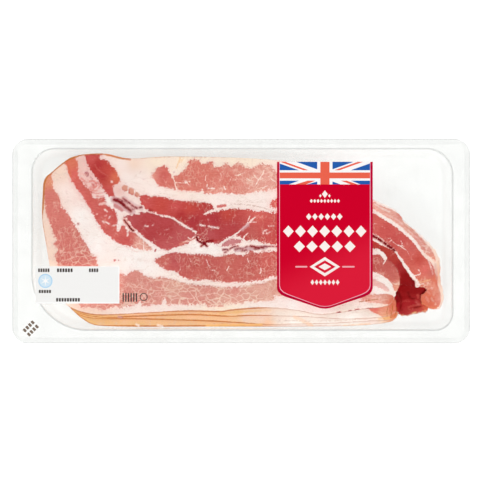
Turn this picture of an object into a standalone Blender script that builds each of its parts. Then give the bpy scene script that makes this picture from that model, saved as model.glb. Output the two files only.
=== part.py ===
"""Sealed pack of streaky bacon, lying on its base with the printed lid up.

A clear thermoformed tray holds a shingled stack of folded belly slices under a flat lid
film, with a pennant-shaped front label and a plain date panel on the film.
The origin is the middle of the pack on the surface it lies on; +X runs along the pack
and +Z is up. Outlines are in millimetres, everything else is in metres.
"""

from math import cos, pi, radians, sin

import bmesh
import bpy

MM = 0.001

# --- driving dimensions -------------------------------------------------------------
PACK_LENGTH = 0.265
PACK_WIDTH = 0.1183
TRAY_DEPTH = 0.017
SHEET = 0.0006            # tray wall
FILM = 0.0003             # lid film
LABEL = 0.0002            # label stock
GAP = 0.0003              # clearance between pieces that touch
FLANGE_RADIUS = 0.009
DRAFT = 0.0020            # how far the well narrows from its mouth to its base
FLOOR_RADIUS = 0.0030     # fillet between the well's wall and its base
CORNER_STEPS = 7
FILLET_STEPS = 3

# Mouth of the well: its sides, then its corner radii. The corner at -X -Y is cut back
# to leave a broad tab of flange where the lid is peeled.
WELL_X = (-0.1209, 0.1223)
WELL_Y = (-0.0514, 0.0534)
WELL_RADII = {"near_left": 0.032, "near_right": 0.010, "far_right": 0.0115, "far_left": 0.013}

SLICE_COUNT = 8
SLICE = 0.00145
STACK_FOOT = 0.0013       # underside of the lowest slice
SHEET_CELLS = (21, 9)     # divisions of a slice's sheet along and across
SHEET_SPAN = (0.236, 0.104)
WAVE_HEIGHT = 0.00035     # how much the top slice rises and falls
FAN_START = 0.088         # from here to +X the slices reach past the stack and droop
FAN_DROOP = 6.4           # droop in metres per square metre of reach

LABEL_CENTRE_X = 0.0484
LABEL_HALF_WIDTH = 0.0277
LABEL_TOP = 0.0459
LABEL_TIP = -0.0391
PANEL_X = (-0.1190, -0.0704)
PANEL_Y = (-0.0361, -0.0145)
PANEL_RADIUS = 0.0006

# --- slice outlines, in millimetres ---------------------------------------------------
# The folded end and the far edge, from the near left corner round to the far right.
FOLD_AND_FAR_EDGE = [
    (-102, -36), (-107.5, -27), (-111, -14), (-113.4, 0), (-115.4, 13), (-115.2, 26),
    (-114.2, 35.6), (-109.6, 40.2), (-104, 45), (-98.2, 48.7), (-90, 50.5), (-78, 50.7),
    (-65, 48), (-45, 49), (-20, 48.9), (0, 48.3), (20, 47), (38, 44), (55, 38), (66, 31), (76, 24.4),
]
# The loose ends, from the far right round to the near right.
FANNED_END = [
    (89, 18.4), (95, 11.4), (104, 4), (112, -4.8), (115.2, -12), (115.2, -22), (116.6, -32),
    (112.5, -38.9), (105, -36), (102.8, -32.5), (106.4, -27.4), (101.4, -26.6), (92.6, -25.6),
    (89.4, -31.4), (86, -36.6),
]
FRAYED_END = [
    (90, 13), (100, 3), (107, -8), (111, -19), (109.5, -30), (107.4, -39.8), (100, -41.6),
    (93.4, -43.1), (90, -40.5),
]
STACK_END = [(84, 17), (90, 6), (93, -8), (93.6, -22), (92.6, -35), (91.2, -42.6)]
# The near edges, from right to left, of the slices that show there.
NEAR_EDGES = {
    1: [(80, -38.6), (70, -39.6), (57, -41.6), (45, -42.7), (33, -40.5), (17, -39), (-5, -40.3),
        (-12, -41.3), (-33, -40.9), (-60, -42.1), (-80, -43.2), (-90, -42.3), (-96.5, -40)],
    2: [(84, -43.9), (70, -45.1), (57, -45.4), (40, -44.2), (10, -43.4), (-8, -44), (-30, -43.1),
        (-60, -44), (-78, -44.6), (-90, -43.2), (-96.6, -40.6)],
    3: [(87, -46), (74, -46.7), (50, -48), (15, -48.7), (0, -47.8), (-25, -46.6), (-60, -45.6),
        (-80, -45.4), (-91, -44.2), (-97.4, -40.8)],
    4: [(86, -47.1), (70, -49), (45, -49.7), (-20, -49.8), (-60, -49.9), (-78, -49.5),
        (-86, -48.7), (-92, -45.6), (-97.2, -41.2)],
}
BURIED_STEP = 0.0007      # how much further back each slice under those ends


def clear_scene():
    for item in list(bpy.data.objects):
        bpy.data.objects.remove(item, do_unlink=True)


def collection(name):
    made = bpy.data.collections.new(name)
    bpy.context.scene.collection.children.link(made)
    return made


def surface(name, colour, roughness, alpha=1.0):
    """A Principled material for one kind of piece."""
    made = bpy.data.materials.new(name)
    made.use_nodes = True
    shader = made.node_tree.nodes["Principled BSDF"]
    shader.inputs["Base Color"].default_value = (*colour, 1.0)
    shader.inputs["Roughness"].default_value = roughness
    shader.inputs["Alpha"].default_value = alpha
    shader.inputs["Metallic"].default_value = 0.0
    made.diffuse_color = (*colour, alpha)
    return made


def place(item, home, finish=None):
    """Puts an object in one collection only, with its material."""
    for other in list(item.users_collection):
        other.objects.unlink(item)
    home.objects.link(item)
    if finish:
        item.data.materials.clear()
        item.data.materials.append(finish)
    return item


def rounded_ring(x_range, y_range, radii, inset, z):
    """Points round a rectangle, anticlockwise, moved in by inset, one arc for each corner."""
    corners = [
        (x_range[0], y_range[0], radii[0], 180),
        (x_range[1], y_range[0], radii[1], 270),
        (x_range[1], y_range[1], radii[2], 0),
        (x_range[0], y_range[1], radii[3], 90),
    ]
    ring = []
    for x, y, radius, start in corners:
        centre_x = x + (radius if x == x_range[0] else -radius)
        centre_y = y + (radius if y == y_range[0] else -radius)
        for step in range(CORNER_STEPS + 1):
            turn = radians(start + 90.0 * step / CORNER_STEPS)
            reach = radius - inset
            ring.append((centre_x + reach * cos(turn), centre_y + reach * sin(turn), z))
    return ring


def flange_ring(z):
    return rounded_ring((-PACK_LENGTH / 2, PACK_LENGTH / 2), (-PACK_WIDTH / 2, PACK_WIDTH / 2),
                        [FLANGE_RADIUS] * 4, 0.0, z)


def well_ring(inset, z):
    return rounded_ring(WELL_X, WELL_Y, list(WELL_RADII.values()), inset, z)


def add_tray(home, finish):
    """One formed sheet: base, filleted foot, drafted wall and flat flange, then its thickness."""
    top = TRAY_DEPTH
    rings = []
    for step in range(FILLET_STEPS + 1):
        turn = (pi / 2) * step / FILLET_STEPS
        rings.append(well_ring(DRAFT + FLOOR_RADIUS * (1 - sin(turn)),
                               SHEET + FLOOR_RADIUS * (1 - cos(turn))))
    rings.append(well_ring(0.0, top))
    rings.append(flange_ring(top))
    build = bmesh.new()
    loops = []
    for ring in rings:
        corners = [build.verts.new(point) for point in ring]
        count = len(corners)
        loops.append([build.edges.new((corners[i], corners[(i + 1) % count])) for i in range(count)])
    bmesh.ops.contextual_create(build, geom=loops[0])
    for lower, upper in zip(loops, loops[1:]):
        bmesh.ops.bridge_loops(build, edges=lower + upper)
    bmesh.ops.recalc_face_normals(build, faces=build.faces)
    mesh = bpy.data.meshes.new("tray")
    build.to_mesh(mesh)
    build.free()
    tray = bpy.data.objects.new("tray", mesh)
    if mesh.polygons[0].normal.z < 0:
        mesh.flip_normals()
    wall = tray.modifiers.new("sheet", 'SOLIDIFY')
    wall.thickness = SHEET
    wall.offset = -1.0
    wall.use_even_offset = True
    return place(tray, home, finish)


def add_plate(name, points, low, thickness, home, finish):
    """A flat piece cut to an outline, from low upwards."""
    curve = bpy.data.curves.new(name, 'CURVE')
    curve.dimensions = '2D'
    curve.fill_mode = 'BOTH'
    curve.extrude = thickness / 2
    line = curve.splines.new('POLY')
    line.points.add(len(points) - 1)
    for point, (x, y) in zip(line.points, points):
        point.co = (x, y, 0.0, 1.0)
    line.use_cyclic_u = True
    plate = bpy.data.objects.new(name, curve)
    plate.location.z = low + thickness / 2
    return place(plate, home, finish)


def pennant():
    """Front label: a square top and a shallow rounded point towards -Y."""
    shoulder_y = -0.0272
    side = [(0.0, 0.0), (0.0006, -0.0019), (0.0022, -0.0036), (0.0048, -0.0049)]
    tip = [(-0.0062, 0.0014), (-0.0028, 0.0003), (0.0, 0.0)]
    left = [(-LABEL_HALF_WIDTH + x, shoulder_y + y) for x, y in side]
    left += [(x, LABEL_TIP + y) for x, y in tip]
    right = [(-x, y) for x, y in reversed(left[:-1])]
    outline = [(-LABEL_HALF_WIDTH, LABEL_TOP)] + left + right + [(LABEL_HALF_WIDTH, LABEL_TOP)]
    return [(LABEL_CENTRE_X + x, y) for x, y in outline]


def slice_outline(number):
    """Outline of one slice in millimetres; number 1 is the top slice."""
    back = 1.3 * (number - 1)
    shown = min(number, max(NEAR_EDGES))
    buried = (number - shown) * BURIED_STEP / MM
    ends = {1: FANNED_END, 2: FRAYED_END}.get(number, STACK_END)
    far = [(x + 0.25 * back, y - (back if y > 0 else 0.0)) for x, y in FOLD_AND_FAR_EDGE]
    near = [(x, y + buried) for x, y in NEAR_EDGES[shown]]
    if number > shown:
        far = [(x * 0.99, y * 0.97) for x, y in far]
        ends = [(x - 1.0, y * 0.98) for x, y in ends]
    return far + ends + near


def add_cutter(number, home):
    """An upright prism through the whole stack, to the outline of one slice."""
    name = f"cutter_{number}"
    curve = bpy.data.curves.new(name, 'CURVE')
    curve.dimensions = '2D'
    curve.fill_mode = 'BOTH'
    curve.extrude = TRAY_DEPTH
    curve.resolution_u = 3 if number <= 2 else 2
    curve.render_resolution_u = 0
    points = slice_outline(number)
    line = curve.splines.new('BEZIER')
    line.bezier_points.add(len(points) - 1)
    for knot, (x, y) in zip(line.bezier_points, points):
        knot.co = (x * MM, y * MM, 0.0)
        knot.handle_left_type = 'AUTO'
        knot.handle_right_type = 'AUTO'
    line.use_cyclic_u = True
    guide = bpy.data.objects.new(name, curve)
    home.objects.link(guide)
    bpy.context.view_layer.update()
    mesh = bpy.data.meshes.new_from_object(guide.evaluated_get(bpy.context.evaluated_depsgraph_get()))
    bpy.data.objects.remove(guide, do_unlink=True)
    weld = bmesh.new()
    weld.from_mesh(mesh)
    bmesh.ops.remove_doubles(weld, verts=weld.verts, dist=0.01 * MM)
    bmesh.ops.recalc_face_normals(weld, faces=weld.faces)
    weld.to_mesh(mesh)
    weld.free()
    cutter = bpy.data.objects.new(name, mesh)
    cutter.hide_render = True
    cutter.display_type = 'WIRE'
    home.objects.link(cutter)
    return cutter


def drape(x, y, level):
    """How far a slice lies above its flat place. Level runs from 0 at the base to 1 on top."""
    wave = sin(2 * pi * (x / 0.083 + 0.1)) * cos(2 * pi * (y / 0.071 + x / 0.31))
    wave += 0.5 * sin(2 * pi * (x / 0.047 - y / 0.055))
    reach = max(0.0, x - FAN_START)
    return level * WAVE_HEIGHT * wave - FAN_DROOP * reach * reach


def add_slice(number, home, cutters, finish):
    """A sheet of meat that follows the stack below it, cut to its own outline."""
    name = f"slice_{number}"
    rank = SLICE_COUNT - number
    middle = STACK_FOOT + rank * (SLICE + GAP) + SLICE / 2
    bpy.ops.mesh.primitive_grid_add(x_subdivisions=SHEET_CELLS[0], y_subdivisions=SHEET_CELLS[1], size=1.0)
    sheet = bpy.context.object
    sheet.name = name
    sheet.data.name = name
    for vert in sheet.data.vertices:
        x = vert.co.x * SHEET_SPAN[0]
        y = vert.co.y * SHEET_SPAN[1]
        vert.co = (x, y, middle + drape(x, y, rank / (SLICE_COUNT - 1)))
    body = sheet.modifiers.new("meat", 'SOLIDIFY')
    body.thickness = SLICE
    body.offset = 0.0
    cut = sheet.modifiers.new("outline", 'BOOLEAN')
    cut.operation = 'INTERSECT'
    cut.solver = 'EXACT'
    cut.object = add_cutter(number, cutters)
    return place(sheet, home, finish)


def main():
    clear_scene()
    pack = collection("bacon_pack")
    cutters = collection("cutters")
    clear = surface("clear_plastic", (0.93, 0.95, 0.95), 0.08, 0.25)
    film = surface("lid_film", (0.96, 0.97, 0.97), 0.05, 0.12)
    meat = surface("cured_belly", (0.66, 0.22, 0.17), 0.38)
    red = surface("red_label", (0.60, 0.0, 0.025), 0.30)
    white = surface("date_panel", (0.89, 0.89, 0.88), 0.40)

    add_tray(pack, clear)
    for number in range(1, SLICE_COUNT + 1):
        add_slice(number, pack, cutters, meat)
    film_low = TRAY_DEPTH + GAP
    label_low = film_low + FILM + GAP
    add_plate("lid_film", [point[:2] for point in flange_ring(0.0)], film_low, FILM, pack, film)
    add_plate("front_label", pennant(), label_low, LABEL, pack, red)
    panel = rounded_ring(PANEL_X, PANEL_Y, [PANEL_RADIUS] * 4, 0.0, 0.0)
    add_plate("date_panel", [point[:2] for point in panel], label_low, LABEL, pack, white)


main()
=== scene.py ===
"""Looks of a sealed pack of streaky bacon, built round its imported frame.

The tray, the lid film and the slices get finely modelled stand-ins, and the front label,
the date panel and the small marks on the film are built up from thin printed plates.
Outlines, places and reaches are in millimetres in the frame's own axes.
"""
from math import cos, pi, radians, sin

import bpy
import numpy as np
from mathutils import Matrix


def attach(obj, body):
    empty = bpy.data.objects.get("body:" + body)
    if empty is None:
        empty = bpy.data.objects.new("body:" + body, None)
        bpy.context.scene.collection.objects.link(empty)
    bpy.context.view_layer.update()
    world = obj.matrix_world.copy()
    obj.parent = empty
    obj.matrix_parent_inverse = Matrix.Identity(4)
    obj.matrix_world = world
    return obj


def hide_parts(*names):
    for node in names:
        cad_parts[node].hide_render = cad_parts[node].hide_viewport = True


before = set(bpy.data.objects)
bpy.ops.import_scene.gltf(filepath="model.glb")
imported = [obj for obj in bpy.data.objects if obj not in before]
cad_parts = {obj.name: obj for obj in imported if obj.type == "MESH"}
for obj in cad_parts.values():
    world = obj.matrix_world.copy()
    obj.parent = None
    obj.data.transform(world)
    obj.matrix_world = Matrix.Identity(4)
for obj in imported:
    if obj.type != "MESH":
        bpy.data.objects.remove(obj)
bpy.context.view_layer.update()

MM = 0.001

# === stack of slices =========================================================================
SLICES = 8
SLICE = 1.45               # thickness of one slice
SLICE_GAP = 0.3
LOWEST_SLICE = 1.3         # height of the lowest slice's underside
CELLS = {1: 0.5, 2: 0.6, 3: 1.0, 4: 1.0}   # cells of the sheets whose edges show
BURIED_CELL = 2.0
MERGE_SHARE = 0.15         # corners nearer than this share of a cell are merged
STRIP_Y = -40.0            # coarse sheets are divided once more nearer than this
STRIP_X = 82.0             # or further right than this
UNDERSIDE_SHARE = 0.06     # share of its triangles that an underside keeps
EDGE_ANGLE = 55            # rims sharper than this keep a crisp edge
# The drape: a long wave and a cross wave over the stack, and a droop past its loose end.
DRAPE_RISE = 0.35
LONG_WAVE = (83, 71, 310)  # lengths along and across the stack, and of its slow turn
CROSS_WAVE = (47, 55)
DROOP_X = 88
DROOP = 0.0064


# === outlines of the slices ==================================================================
# The folded end and the far edge, from the near left corner round to the far right.
FOLD_AND_FAR_EDGE = [
    (-102, -36), (-107.5, -27), (-111, -14), (-113.4, 0), (-115.4, 13), (-115.2, 26), (-114.2, 35.6),
    (-109.6, 40.2), (-104, 45), (-98.2, 48.7), (-90, 50.5), (-78, 50.7), (-65, 48), (-45, 49), (-20, 48.9),
    (0, 48.3), (20, 47), (38, 44), (55, 38), (66, 31), (76, 24.4),
]
# The loose ends, from the far right round to the near right.
FANNED_END = [
    (89, 18.4), (95, 11.4), (104, 4), (112.3, -4.5), (115.9, -12), (116, -22), (118, -32), (114.4, -39.6),
    (105.6, -36.6), (104.4, -32.3), (108, -27.6), (101.4, -26.6), (92.6, -25.6), (89.4, -31.4),
    (86, -36.6),
]
FRAYED_END = [
    (90, 13), (100, 3), (107, -8), (111, -19), (109.5, -30), (108.2, -40.5), (103.5, -41.8), (99.6, -42.8),
    (93.4, -43.6), (90, -41),
]
STACK_END = [(84, 17), (90, 6), (93, -8), (93.6, -22), (92.6, -35), (91.2, -42.6)]
# The near edges, from right to left, of the slices that show there.
NEAR_EDGES = {
    1: [
        (80, -38.6), (70, -39.6), (57, -41.6), (45, -42.7), (33, -40.5), (17, -39), (-5, -40.3),
        (-12, -41.3), (-33, -40.9), (-60, -42.1), (-80, -43.2), (-90, -42.3), (-96.5, -40),
    ],
    2: [
        (84, -43.9), (70, -45.1), (57, -45.4), (40, -44.2), (10, -43.4), (-8, -44), (-30, -43.1),
        (-60, -44), (-78, -44.6), (-90, -43.2), (-96.6, -40.6),
    ],
    3: [
        (87, -46), (74, -46.7), (50, -48), (15, -48.7), (0, -47.8), (-25, -46.6), (-60, -45.6),
        (-80, -45.4), (-91, -44.2), (-97.4, -40.8),
    ],
    4: [
        (86, -47.1), (70, -49), (45, -49.7), (-20, -49.8), (-60, -49.9), (-78, -49.5), (-86, -48.7),
        (-92, -45.6), (-97.2, -41.2),
    ],
}
FAR_STEP = 1.3            # how much nearer each slice's far edge lies than the one above
FOLD_STEP = 0.25          # share of that by which its fold lies further right
BURIED_STEP = 0.7         # how much further back each slice under the shown near edges ends


def slice_outline(number):
    """Outline of one slice; number 1 is the top slice."""
    back = FAR_STEP * (number - 1)
    shown = min(number, max(NEAR_EDGES))
    buried = (number - shown) * BURIED_STEP
    ends = {1: FANNED_END, 2: FRAYED_END}.get(number, STACK_END)
    far = [(x + FOLD_STEP * back, y - (back if y > 0 else 0.0)) for x, y in FOLD_AND_FAR_EDGE]
    near = [(x, y + buried) for x, y in NEAR_EDGES[shown]]
    if number > shown:
        # a buried slice is a little smaller all round
        far = [(x * 0.99, y * 0.97) for x, y in far]
        ends = [(x - 1.0, y * 0.98) for x, y in ends]
    return far + ends + near


# === tones ===================================================================================
def paint(red, green, blue):
    """A colour in 0-255 steps as linear light."""
    steps = np.array([red, green, blue]) / 255
    return np.where(steps <= 0.04045, steps / 12.92, ((steps + 0.055) / 1.055) ** 2.4)


TONE_STEPS = {
    "apricot": (224, 146, 114), "salmon": (216, 127, 117), "sienna": (222, 122, 98),
    "coral": (223, 110, 102), "rose": (211, 104, 97), "brick": (205, 90, 86), "ember": (199, 79, 70),
    "garnet": (181, 58, 58), "ruby": (176, 58, 64), "plum": (182, 70, 73), "mauve": (187, 84, 86),
    "dusk": (196, 94, 94), "shell": (208, 134, 135), "blush": (219, 126, 112), "flush": (228, 150, 136),
    "pale_rose": (231, 170, 156), "clay": (198, 98, 92), "terra": (205, 109, 100),
    "petal": (221, 149, 138), "petal_light": (226, 172, 156), "rose_pink": (236, 176, 162),
    "maroon": (165, 42, 44), "oxblood": (140, 8, 12), "wine": (162, 18, 30), "amber": (221, 117, 90),
    "amber_deep": (217, 108, 80), "orange": (217, 130, 85), "milk": (252, 244, 239),
    "cream": (251, 236, 229), "blossom": (250, 231, 223), "ivory": (251, 233, 212),
    "peach": (245, 216, 198), "veil": (239, 196, 188), "straw": (244, 198, 148), "honey": (244, 192, 120),
    "oat": (250, 234, 222), "rust": (186, 102, 44), "toast_and_shade": (204, 130, 66), "hide": (206, 166, 150),
    "gold": (236, 190, 130), "linen": (240, 224, 212), "white_fat": (255, 250, 243),
    "vessel": (124, 10, 24), "cleft_shade": (112, 0, 8), "bruise": (172, 58, 88), "bead": (221, 154, 134),
    "lilac": (214, 168, 170), "sinew": (222, 196, 182), "tan_rose": (232, 160, 134),
    "plum_red": (184, 66, 58), "ham": (226, 148, 126), "apricot_light": (246, 198, 158),
    "blood": (116, 2, 4), "chalk": (250, 240, 233), "orchid": (188, 122, 134), "plum_dark": (128, 36, 58),
}
TONES = {name: paint(*steps) for name, steps in TONE_STEPS.items()}

# === map of the top slice ====================================================================
# Each muscle: its outline, then spots in it with their tone and how marbled it is there.
MUSCLES = {
    "flank": {
        "edge": [
            (-110.5, 39.5), (-109.3, 36), (-109.3, 31.5), (-107.5, 28.5), (-105, 24), (-104, 20.2),
            (-101.5, 17.5), (-97.5, 11), (-94, 5), (-90, -2), (-85.5, -8.8), (-83.8, -8), (-83.3, -14),
            (-79, -17.5), (-72, -19.5), (-68, -28), (-70, -38.4), (-73.4, -37.6), (-76, -38.6),
            (-80.8, -40.4), (-83.6, -39.2), (-87, -38.4), (-90, -38.4), (-91.6, -39), (-93.4, -37.4),
            (-97, -30), (-102, -23), (-106.5, -14.4), (-107.5, -10.3), (-108.3, -8.5), (-106.5, -4.8),
            (-108.5, -2), (-107, 0.8), (-108.5, 3), (-110, 8), (-112, 12.8), (-113.5, 19), (-114.3, 26),
            (-114.3, 34), (-113, 38.5),
        ],
        "spots": [
            (-112, 34, "apricot", 0.1), (-111, 27, "salmon", 0.1), (-107, 18, "salmon", 0.15),
            (-103, 11, "salmon", 0.15), (-98, 0, "salmon", 0.25), (-93, -9, "salmon", 0.4),
            (-104, -10, "salmon", 0.3), (-85, -37, "petal", 0.35), (-75, -25, "petal", 0.4),
        ],
    },
    "belly": {
        "edge": [
            (-102.4, 46.4), (-101.2, 43), (-100, 40), (-99, 37), (-97.5, 34), (-96, 31.5), (-92.5, 27),
            (-90, 22.5), (-86.5, 16.5), (-83.5, 11), (-80, 6), (-76, 2), (-72.5, 0), (-69.5, -2.2),
            (-64, -3.3), (-57.3, -4.9), (-52.8, -5.2), (-51.6, -4.3), (-53.2, -2.4), (-57, 0.8), (-60, 4),
            (-62.5, 5.8), (-66, 6), (-68, 9.5), (-71, 6.5), (-71.6, 11), (-72.5, 16.5), (-76, 20),
            (-78, 21.5), (-78.5, 23.5), (-80, 25.5), (-84, 24.5), (-86, 26), (-87, 28.5), (-91, 33),
            (-94, 36.5), (-94.5, 41), (-95, 46), (-97.4, 49.2), (-100, 49),
        ],
        "spots": [
            (-98.5, 45, "sienna", 0), (-97, 38, "coral", 0.05), (-92, 30, "rose", 0.05),
            (-86, 19, "rose", 0.05), (-79, 12, "rose", 0.05), (-74, 6, "rose", 0.05),
            (-75, 15, "brick", 0.1), (-66, 0, "brick", 0.05), (-58, -2, "pale_rose", 0.4),
        ],
    },
    "eye": {
        "edge": [
            (-90.5, 49.8), (-90, 46), (-88.5, 43), (-86, 39), (-83.5, 36.5), (-82, 34.5), (-80.5, 31),
            (-78.5, 28), (-76, 26), (-74.5, 25.3), (-73.5, 26), (-74, 30), (-73.5, 32), (-70.5, 34),
            (-71, 38), (-72, 40.5), (-74, 43), (-78, 46.5), (-82, 48), (-80.5, 50.3), (-85, 50.8),
        ],
        "spots": [
            (-87, 48, "brick", 0), (-83, 44, "garnet", 0), (-80, 38, "garnet", 0), (-77, 41, "ember", 0),
            (-73, 37, "amber", 0.05), (-76, 29, "brick", 0),
        ],
    },
    "back": {
        "edge": [
            (-51.6, 38.3), (-50, 40.8), (-47.6, 42.6), (-44.5, 43.5), (-42.5, 42.5), (-41.5, 40),
            (-40, 37), (-37, 38.5), (-35, 39.5), (-32.5, 41.5), (-31.5, 43), (-30, 47), (-25, 46.8),
            (-22, 45), (-17, 46.3), (-15.5, 43), (-10.5, 43.8), (-9, 45.7), (-5.5, 43), (-3, 45),
            (-1, 45.3), (4, 42.5), (8, 43), (11, 44.8), (14, 44.7), (16, 44), (18, 43.5), (19, 41),
            (24, 39.5), (40, 38), (55, 33), (62, 28), (50, 27), (36, 29.5), (24, 30.6), (18, 30),
            (8, 28.5), (0, 27), (-8, 27.7), (-20.5, 27.8), (-23, 30), (-24.5, 28.7), (-35, 29.3),
            (-38.5, 30), (-44, 31), (-47.5, 32), (-49.6, 34.5), (-51.6, 37),
        ],
        "spots": [
            (-50.6, 38.5, "flush", 0), (-45.5, 38, "rose", 0.05), (-36, 35, "blush", 0.2),
            (-27, 38, "blush", 0.15), (-18, 38, "blush", 0.1), (-8, 34, "blush", 0.2),
            (0, 38, "flush", 0.2), (10, 34, "pale_rose", 0.35), (17, 38, "pale_rose", 0.35),
            (-12, 29.5, "flush", 0.3), (40, 34, "pale_rose", 0.3),
        ],
    },
    "fillet": {
        "edge": [
            (-59, 25.9), (-55, 27), (-52.8, 26.4), (-45.5, 25.9), (-37.8, 23.5), (-28, 23), (-22.3, 22.5),
            (-18, 21.5), (-15.2, 19), (-18, 17.4), (-22, 15.6), (-18, 16.4), (-14, 17), (-10, 18.3),
            (-5, 18.8), (0, 18.6), (5, 18.3), (9, 17.3), (15, 17), (24, 16), (44, 14), (60, 10), (60, -2),
            (40, 0), (20.5, -2), (13, -1), (8, 0.5), (4, 0), (1, 2), (-3, 2.8), (-6, 2.3), (-9, 1),
            (-11, -0.5), (-13, -1.8), (-16, -1), (-20, -0.4), (-24, 0.8), (-25.8, 3.2), (-28, 6.5),
            (-35, 10.5), (-40, 13.8), (-45, 15), (-50, 16.3), (-54, 17.5), (-57.5, 21),
        ],
        "spots": [
            (-56, 23, "brick", 0.05), (-46, 21, "ember", 0.05), (-38, 20, "brick", 0.12),
            (-30, 19, "ember", 0.15), (-35, 15, "garnet", 0.05), (-28, 12, "ruby", 0.1),
            (-15, 12, "ruby", 0.04), (-8, 15.5, "ember", 0.06), (-5, 9, "plum", 0.06),
            (-18, 4, "mauve", 0.12), (-10, 6, "plum", 0.06), (10, 15, "coral", 0.1),
            (15, 8, "brick", 0.15), (18, 3, "brick", 0.12), (7, 5, "clay", 0.1), (45, 5, "clay", 0.2),
        ],
    },
    "leaf": {
        "edge": [
            (-67.5, 14.5), (-65, 15), (-60, 15.8), (-57, 16.8), (-54, 17), (-50, 16), (-45, 14.5),
            (-40, 13.2), (-35, 9.8), (-31, 7.6), (-27.5, 5.6), (-26.4, 3.6), (-27.4, 1.2), (-30.5, -1),
            (-34.5, -2.6), (-39, -3.8), (-42, -5), (-45, -5), (-47, -4.3), (-50, -2.5), (-53, 0), (-56, 2),
            (-59, 4.5), (-61, 6.5), (-63, 8.5), (-65, 11), (-67, 13.5),
        ],
        "spots": [
            (-62, 12.5, "mauve", 0.05), (-54, 12, "plum", 0), (-52, 4, "plum", 0.05),
            (-42, 7, "plum", 0.05), (-36, 3, "dusk", 0.08), (-30, 2, "dusk", 0.05),
            (-44, -3, "dusk", 0.08),
        ],
    },
    "sliver": {
        "edge": [
            (-12, -2.5), (-9, 0.3), (-6, 1.6), (-3, 1.6), (0, 1), (0.5, 0), (-1, -1.3), (-4, -2.3),
            (-8, -2.8),
        ],
        "spots": [(-6, 0, "shell", 0)],
    },
    "wedge": {
        "edge": [(16.5, 21.5), (17.5, 23), (20.5, 24.6), (24, 24), (24, 19), (20.5, 18.8), (17, 20)],
        "spots": [(18, 21.5, "coral", 0.3)],
    },
    "inner": {
        "edge": [
            (-50.5, -11), (-49, -10), (-45, -8.3), (-42, -7), (-38, -6.7), (-33, -7), (-30, -7.5),
            (-19, -7.8), (-16, -9.3), (-13, -8.7), (-6, -7.5), (1, -8), (3, -7), (6, -5.8), (9, -7),
            (13, -6.2), (20.5, -6), (40, -8), (60, -9), (60, -17), (40, -19), (20.5, -20), (15, -21.5),
            (12, -22.3), (4, -23.5), (-4, -23.8), (-8, -24.2), (-14, -23.2), (-22, -22.5), (-27, -23),
            (-32, -21.5), (-35.5, -20.3), (-37, -18.5), (-39, -17.5), (-42, -17.2), (-44, -16.5),
            (-48, -13.5), (-50, -11.8),
        ],
        "spots": [
            (-46, -11, "terra", 0.15), (-38, -11, "dusk", 0.1), (-30, -14, "clay", 0.2),
            (-18, -13, "clay", 0.2), (-6, -14, "terra", 0.15), (6, -13, "clay", 0.2),
            (16, -12, "rose", 0.2), (-25, -20, "terra", 0.2), (5, -20, "terra", 0.2),
            (45, -13, "clay", 0.2),
        ],
    },
    "skirt": {
        "edge": [
            (-72, -19), (-67, -20), (-66, -18.5), (-63, -17.3), (-60, -17), (-58, -18), (-56, -20),
            (-50, -21.3), (-46, -21), (-38, -22.3), (-35, -23.3), (-29, -25), (-20, -25.7), (-10, -27),
            (-5, -26.7), (4, -25.5), (8, -24.5), (13, -24), (18, -22.3), (22, -22), (45, -21), (60, -20),
            (60, -32), (45, -34), (21, -31.5), (20, -33.5), (17, -34.3), (9, -35.3), (4, -35), (0, -36),
            (-5, -36), (-9, -36.8), (-9.8, -35), (-10, -38), (-19, -37.9), (-20, -36.5), (-25, -36.8),
            (-25.5, -35.5), (-26, -36.8), (-38, -36.7), (-42, -37.2), (-43.5, -36), (-44, -33),
            (-45, -33.5), (-46, -36.3), (-52, -36.7), (-55, -37.8), (-57.5, -37), (-58.7, -35),
            (-60, -36.5), (-66, -37.7), (-72, -37.5),
        ],
        "spots": [
            (-66, -21.5, "petal", 0.2), (-60, -20, "petal", 0.1), (-63, -27, "petal", 0.35),
            (-50, -26, "petal", 0.35), (-38, -26, "petal_light", 0.3), (-20, -28, "petal", 0.25),
            (-5, -28, "petal", 0.25), (12, -27, "petal_light", 0.2), (-30, -34, "petal", 0.7),
            (-10, -34, "petal_light", 0.65), (5, -33, "petal_light", 0.7), (-60, -34, "petal", 0.6),
            (45, -27, "petal_light", 0.3),
        ],
    },
    "outer_band": {
        "edge": [
            (62, 31), (70, 27.6), (76, 23.4), (83, 19.8), (87, 18.4), (90.6, 16.4), (93, 14), (94.8, 10.6),
            (99, 7.6), (103.6, 3), (108, -1.6), (110.6, -5), (112.6, -9), (113, -12), (111, -10.4),
            (107, -7.3), (104.6, -4.2), (101.4, 0.3), (98.1, 3.6), (93.5, 7.5), (88.4, 11.4), (82.5, 15),
            (77.7, 18), (66, 22.9),
        ],
        "spots": [
            (78, 20.5, "rose_pink", 0.3), (85, 17, "pale_rose", 0.2), (92, 13.6, "petal", 0.2),
            (90, 11.5, "pale_rose", 0.3), (96, 7.4, "petal_light", 0.3), (103, 1.4, "petal", 0.3),
            (108, -4.4, "petal", 0.4), (112, -10, "ham", 0.5),
        ],
    },
    "long_end": {
        "edge": [
            (62, 20.5), (70, 19), (76.7, 16.3), (81.5, 13.4), (87.2, 9.8), (92.3, 6.1), (96.7, 2.2),
            (100, -1), (103.2, -5.4), (105.8, -8.7), (109.7, -12), (112.2, -15.2), (112.6, -18.3),
            (114.2, -21), (114.4, -25), (116, -31), (115.6, -37), (112.3, -39.6), (108, -38.8), (104, -37),
            (103.4, -32.5), (106.5, -28.7), (103, -27.8), (102.4, -26.6), (102.5, -24), (100.9, -20.3),
            (98.9, -18.4), (96.8, -15.3), (94.2, -11.5), (91.8, -8.4), (89, -4.6), (84.6, -1), (80.4, 2.2),
            (76.9, 4.4), (62, 11),
        ],
        "spots": [
            (78, 11, "rose", 0.12), (85, 7, "brick", 0.08), (92, 1, "brick", 0.12), (98, -5, "rose", 0.06),
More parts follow.
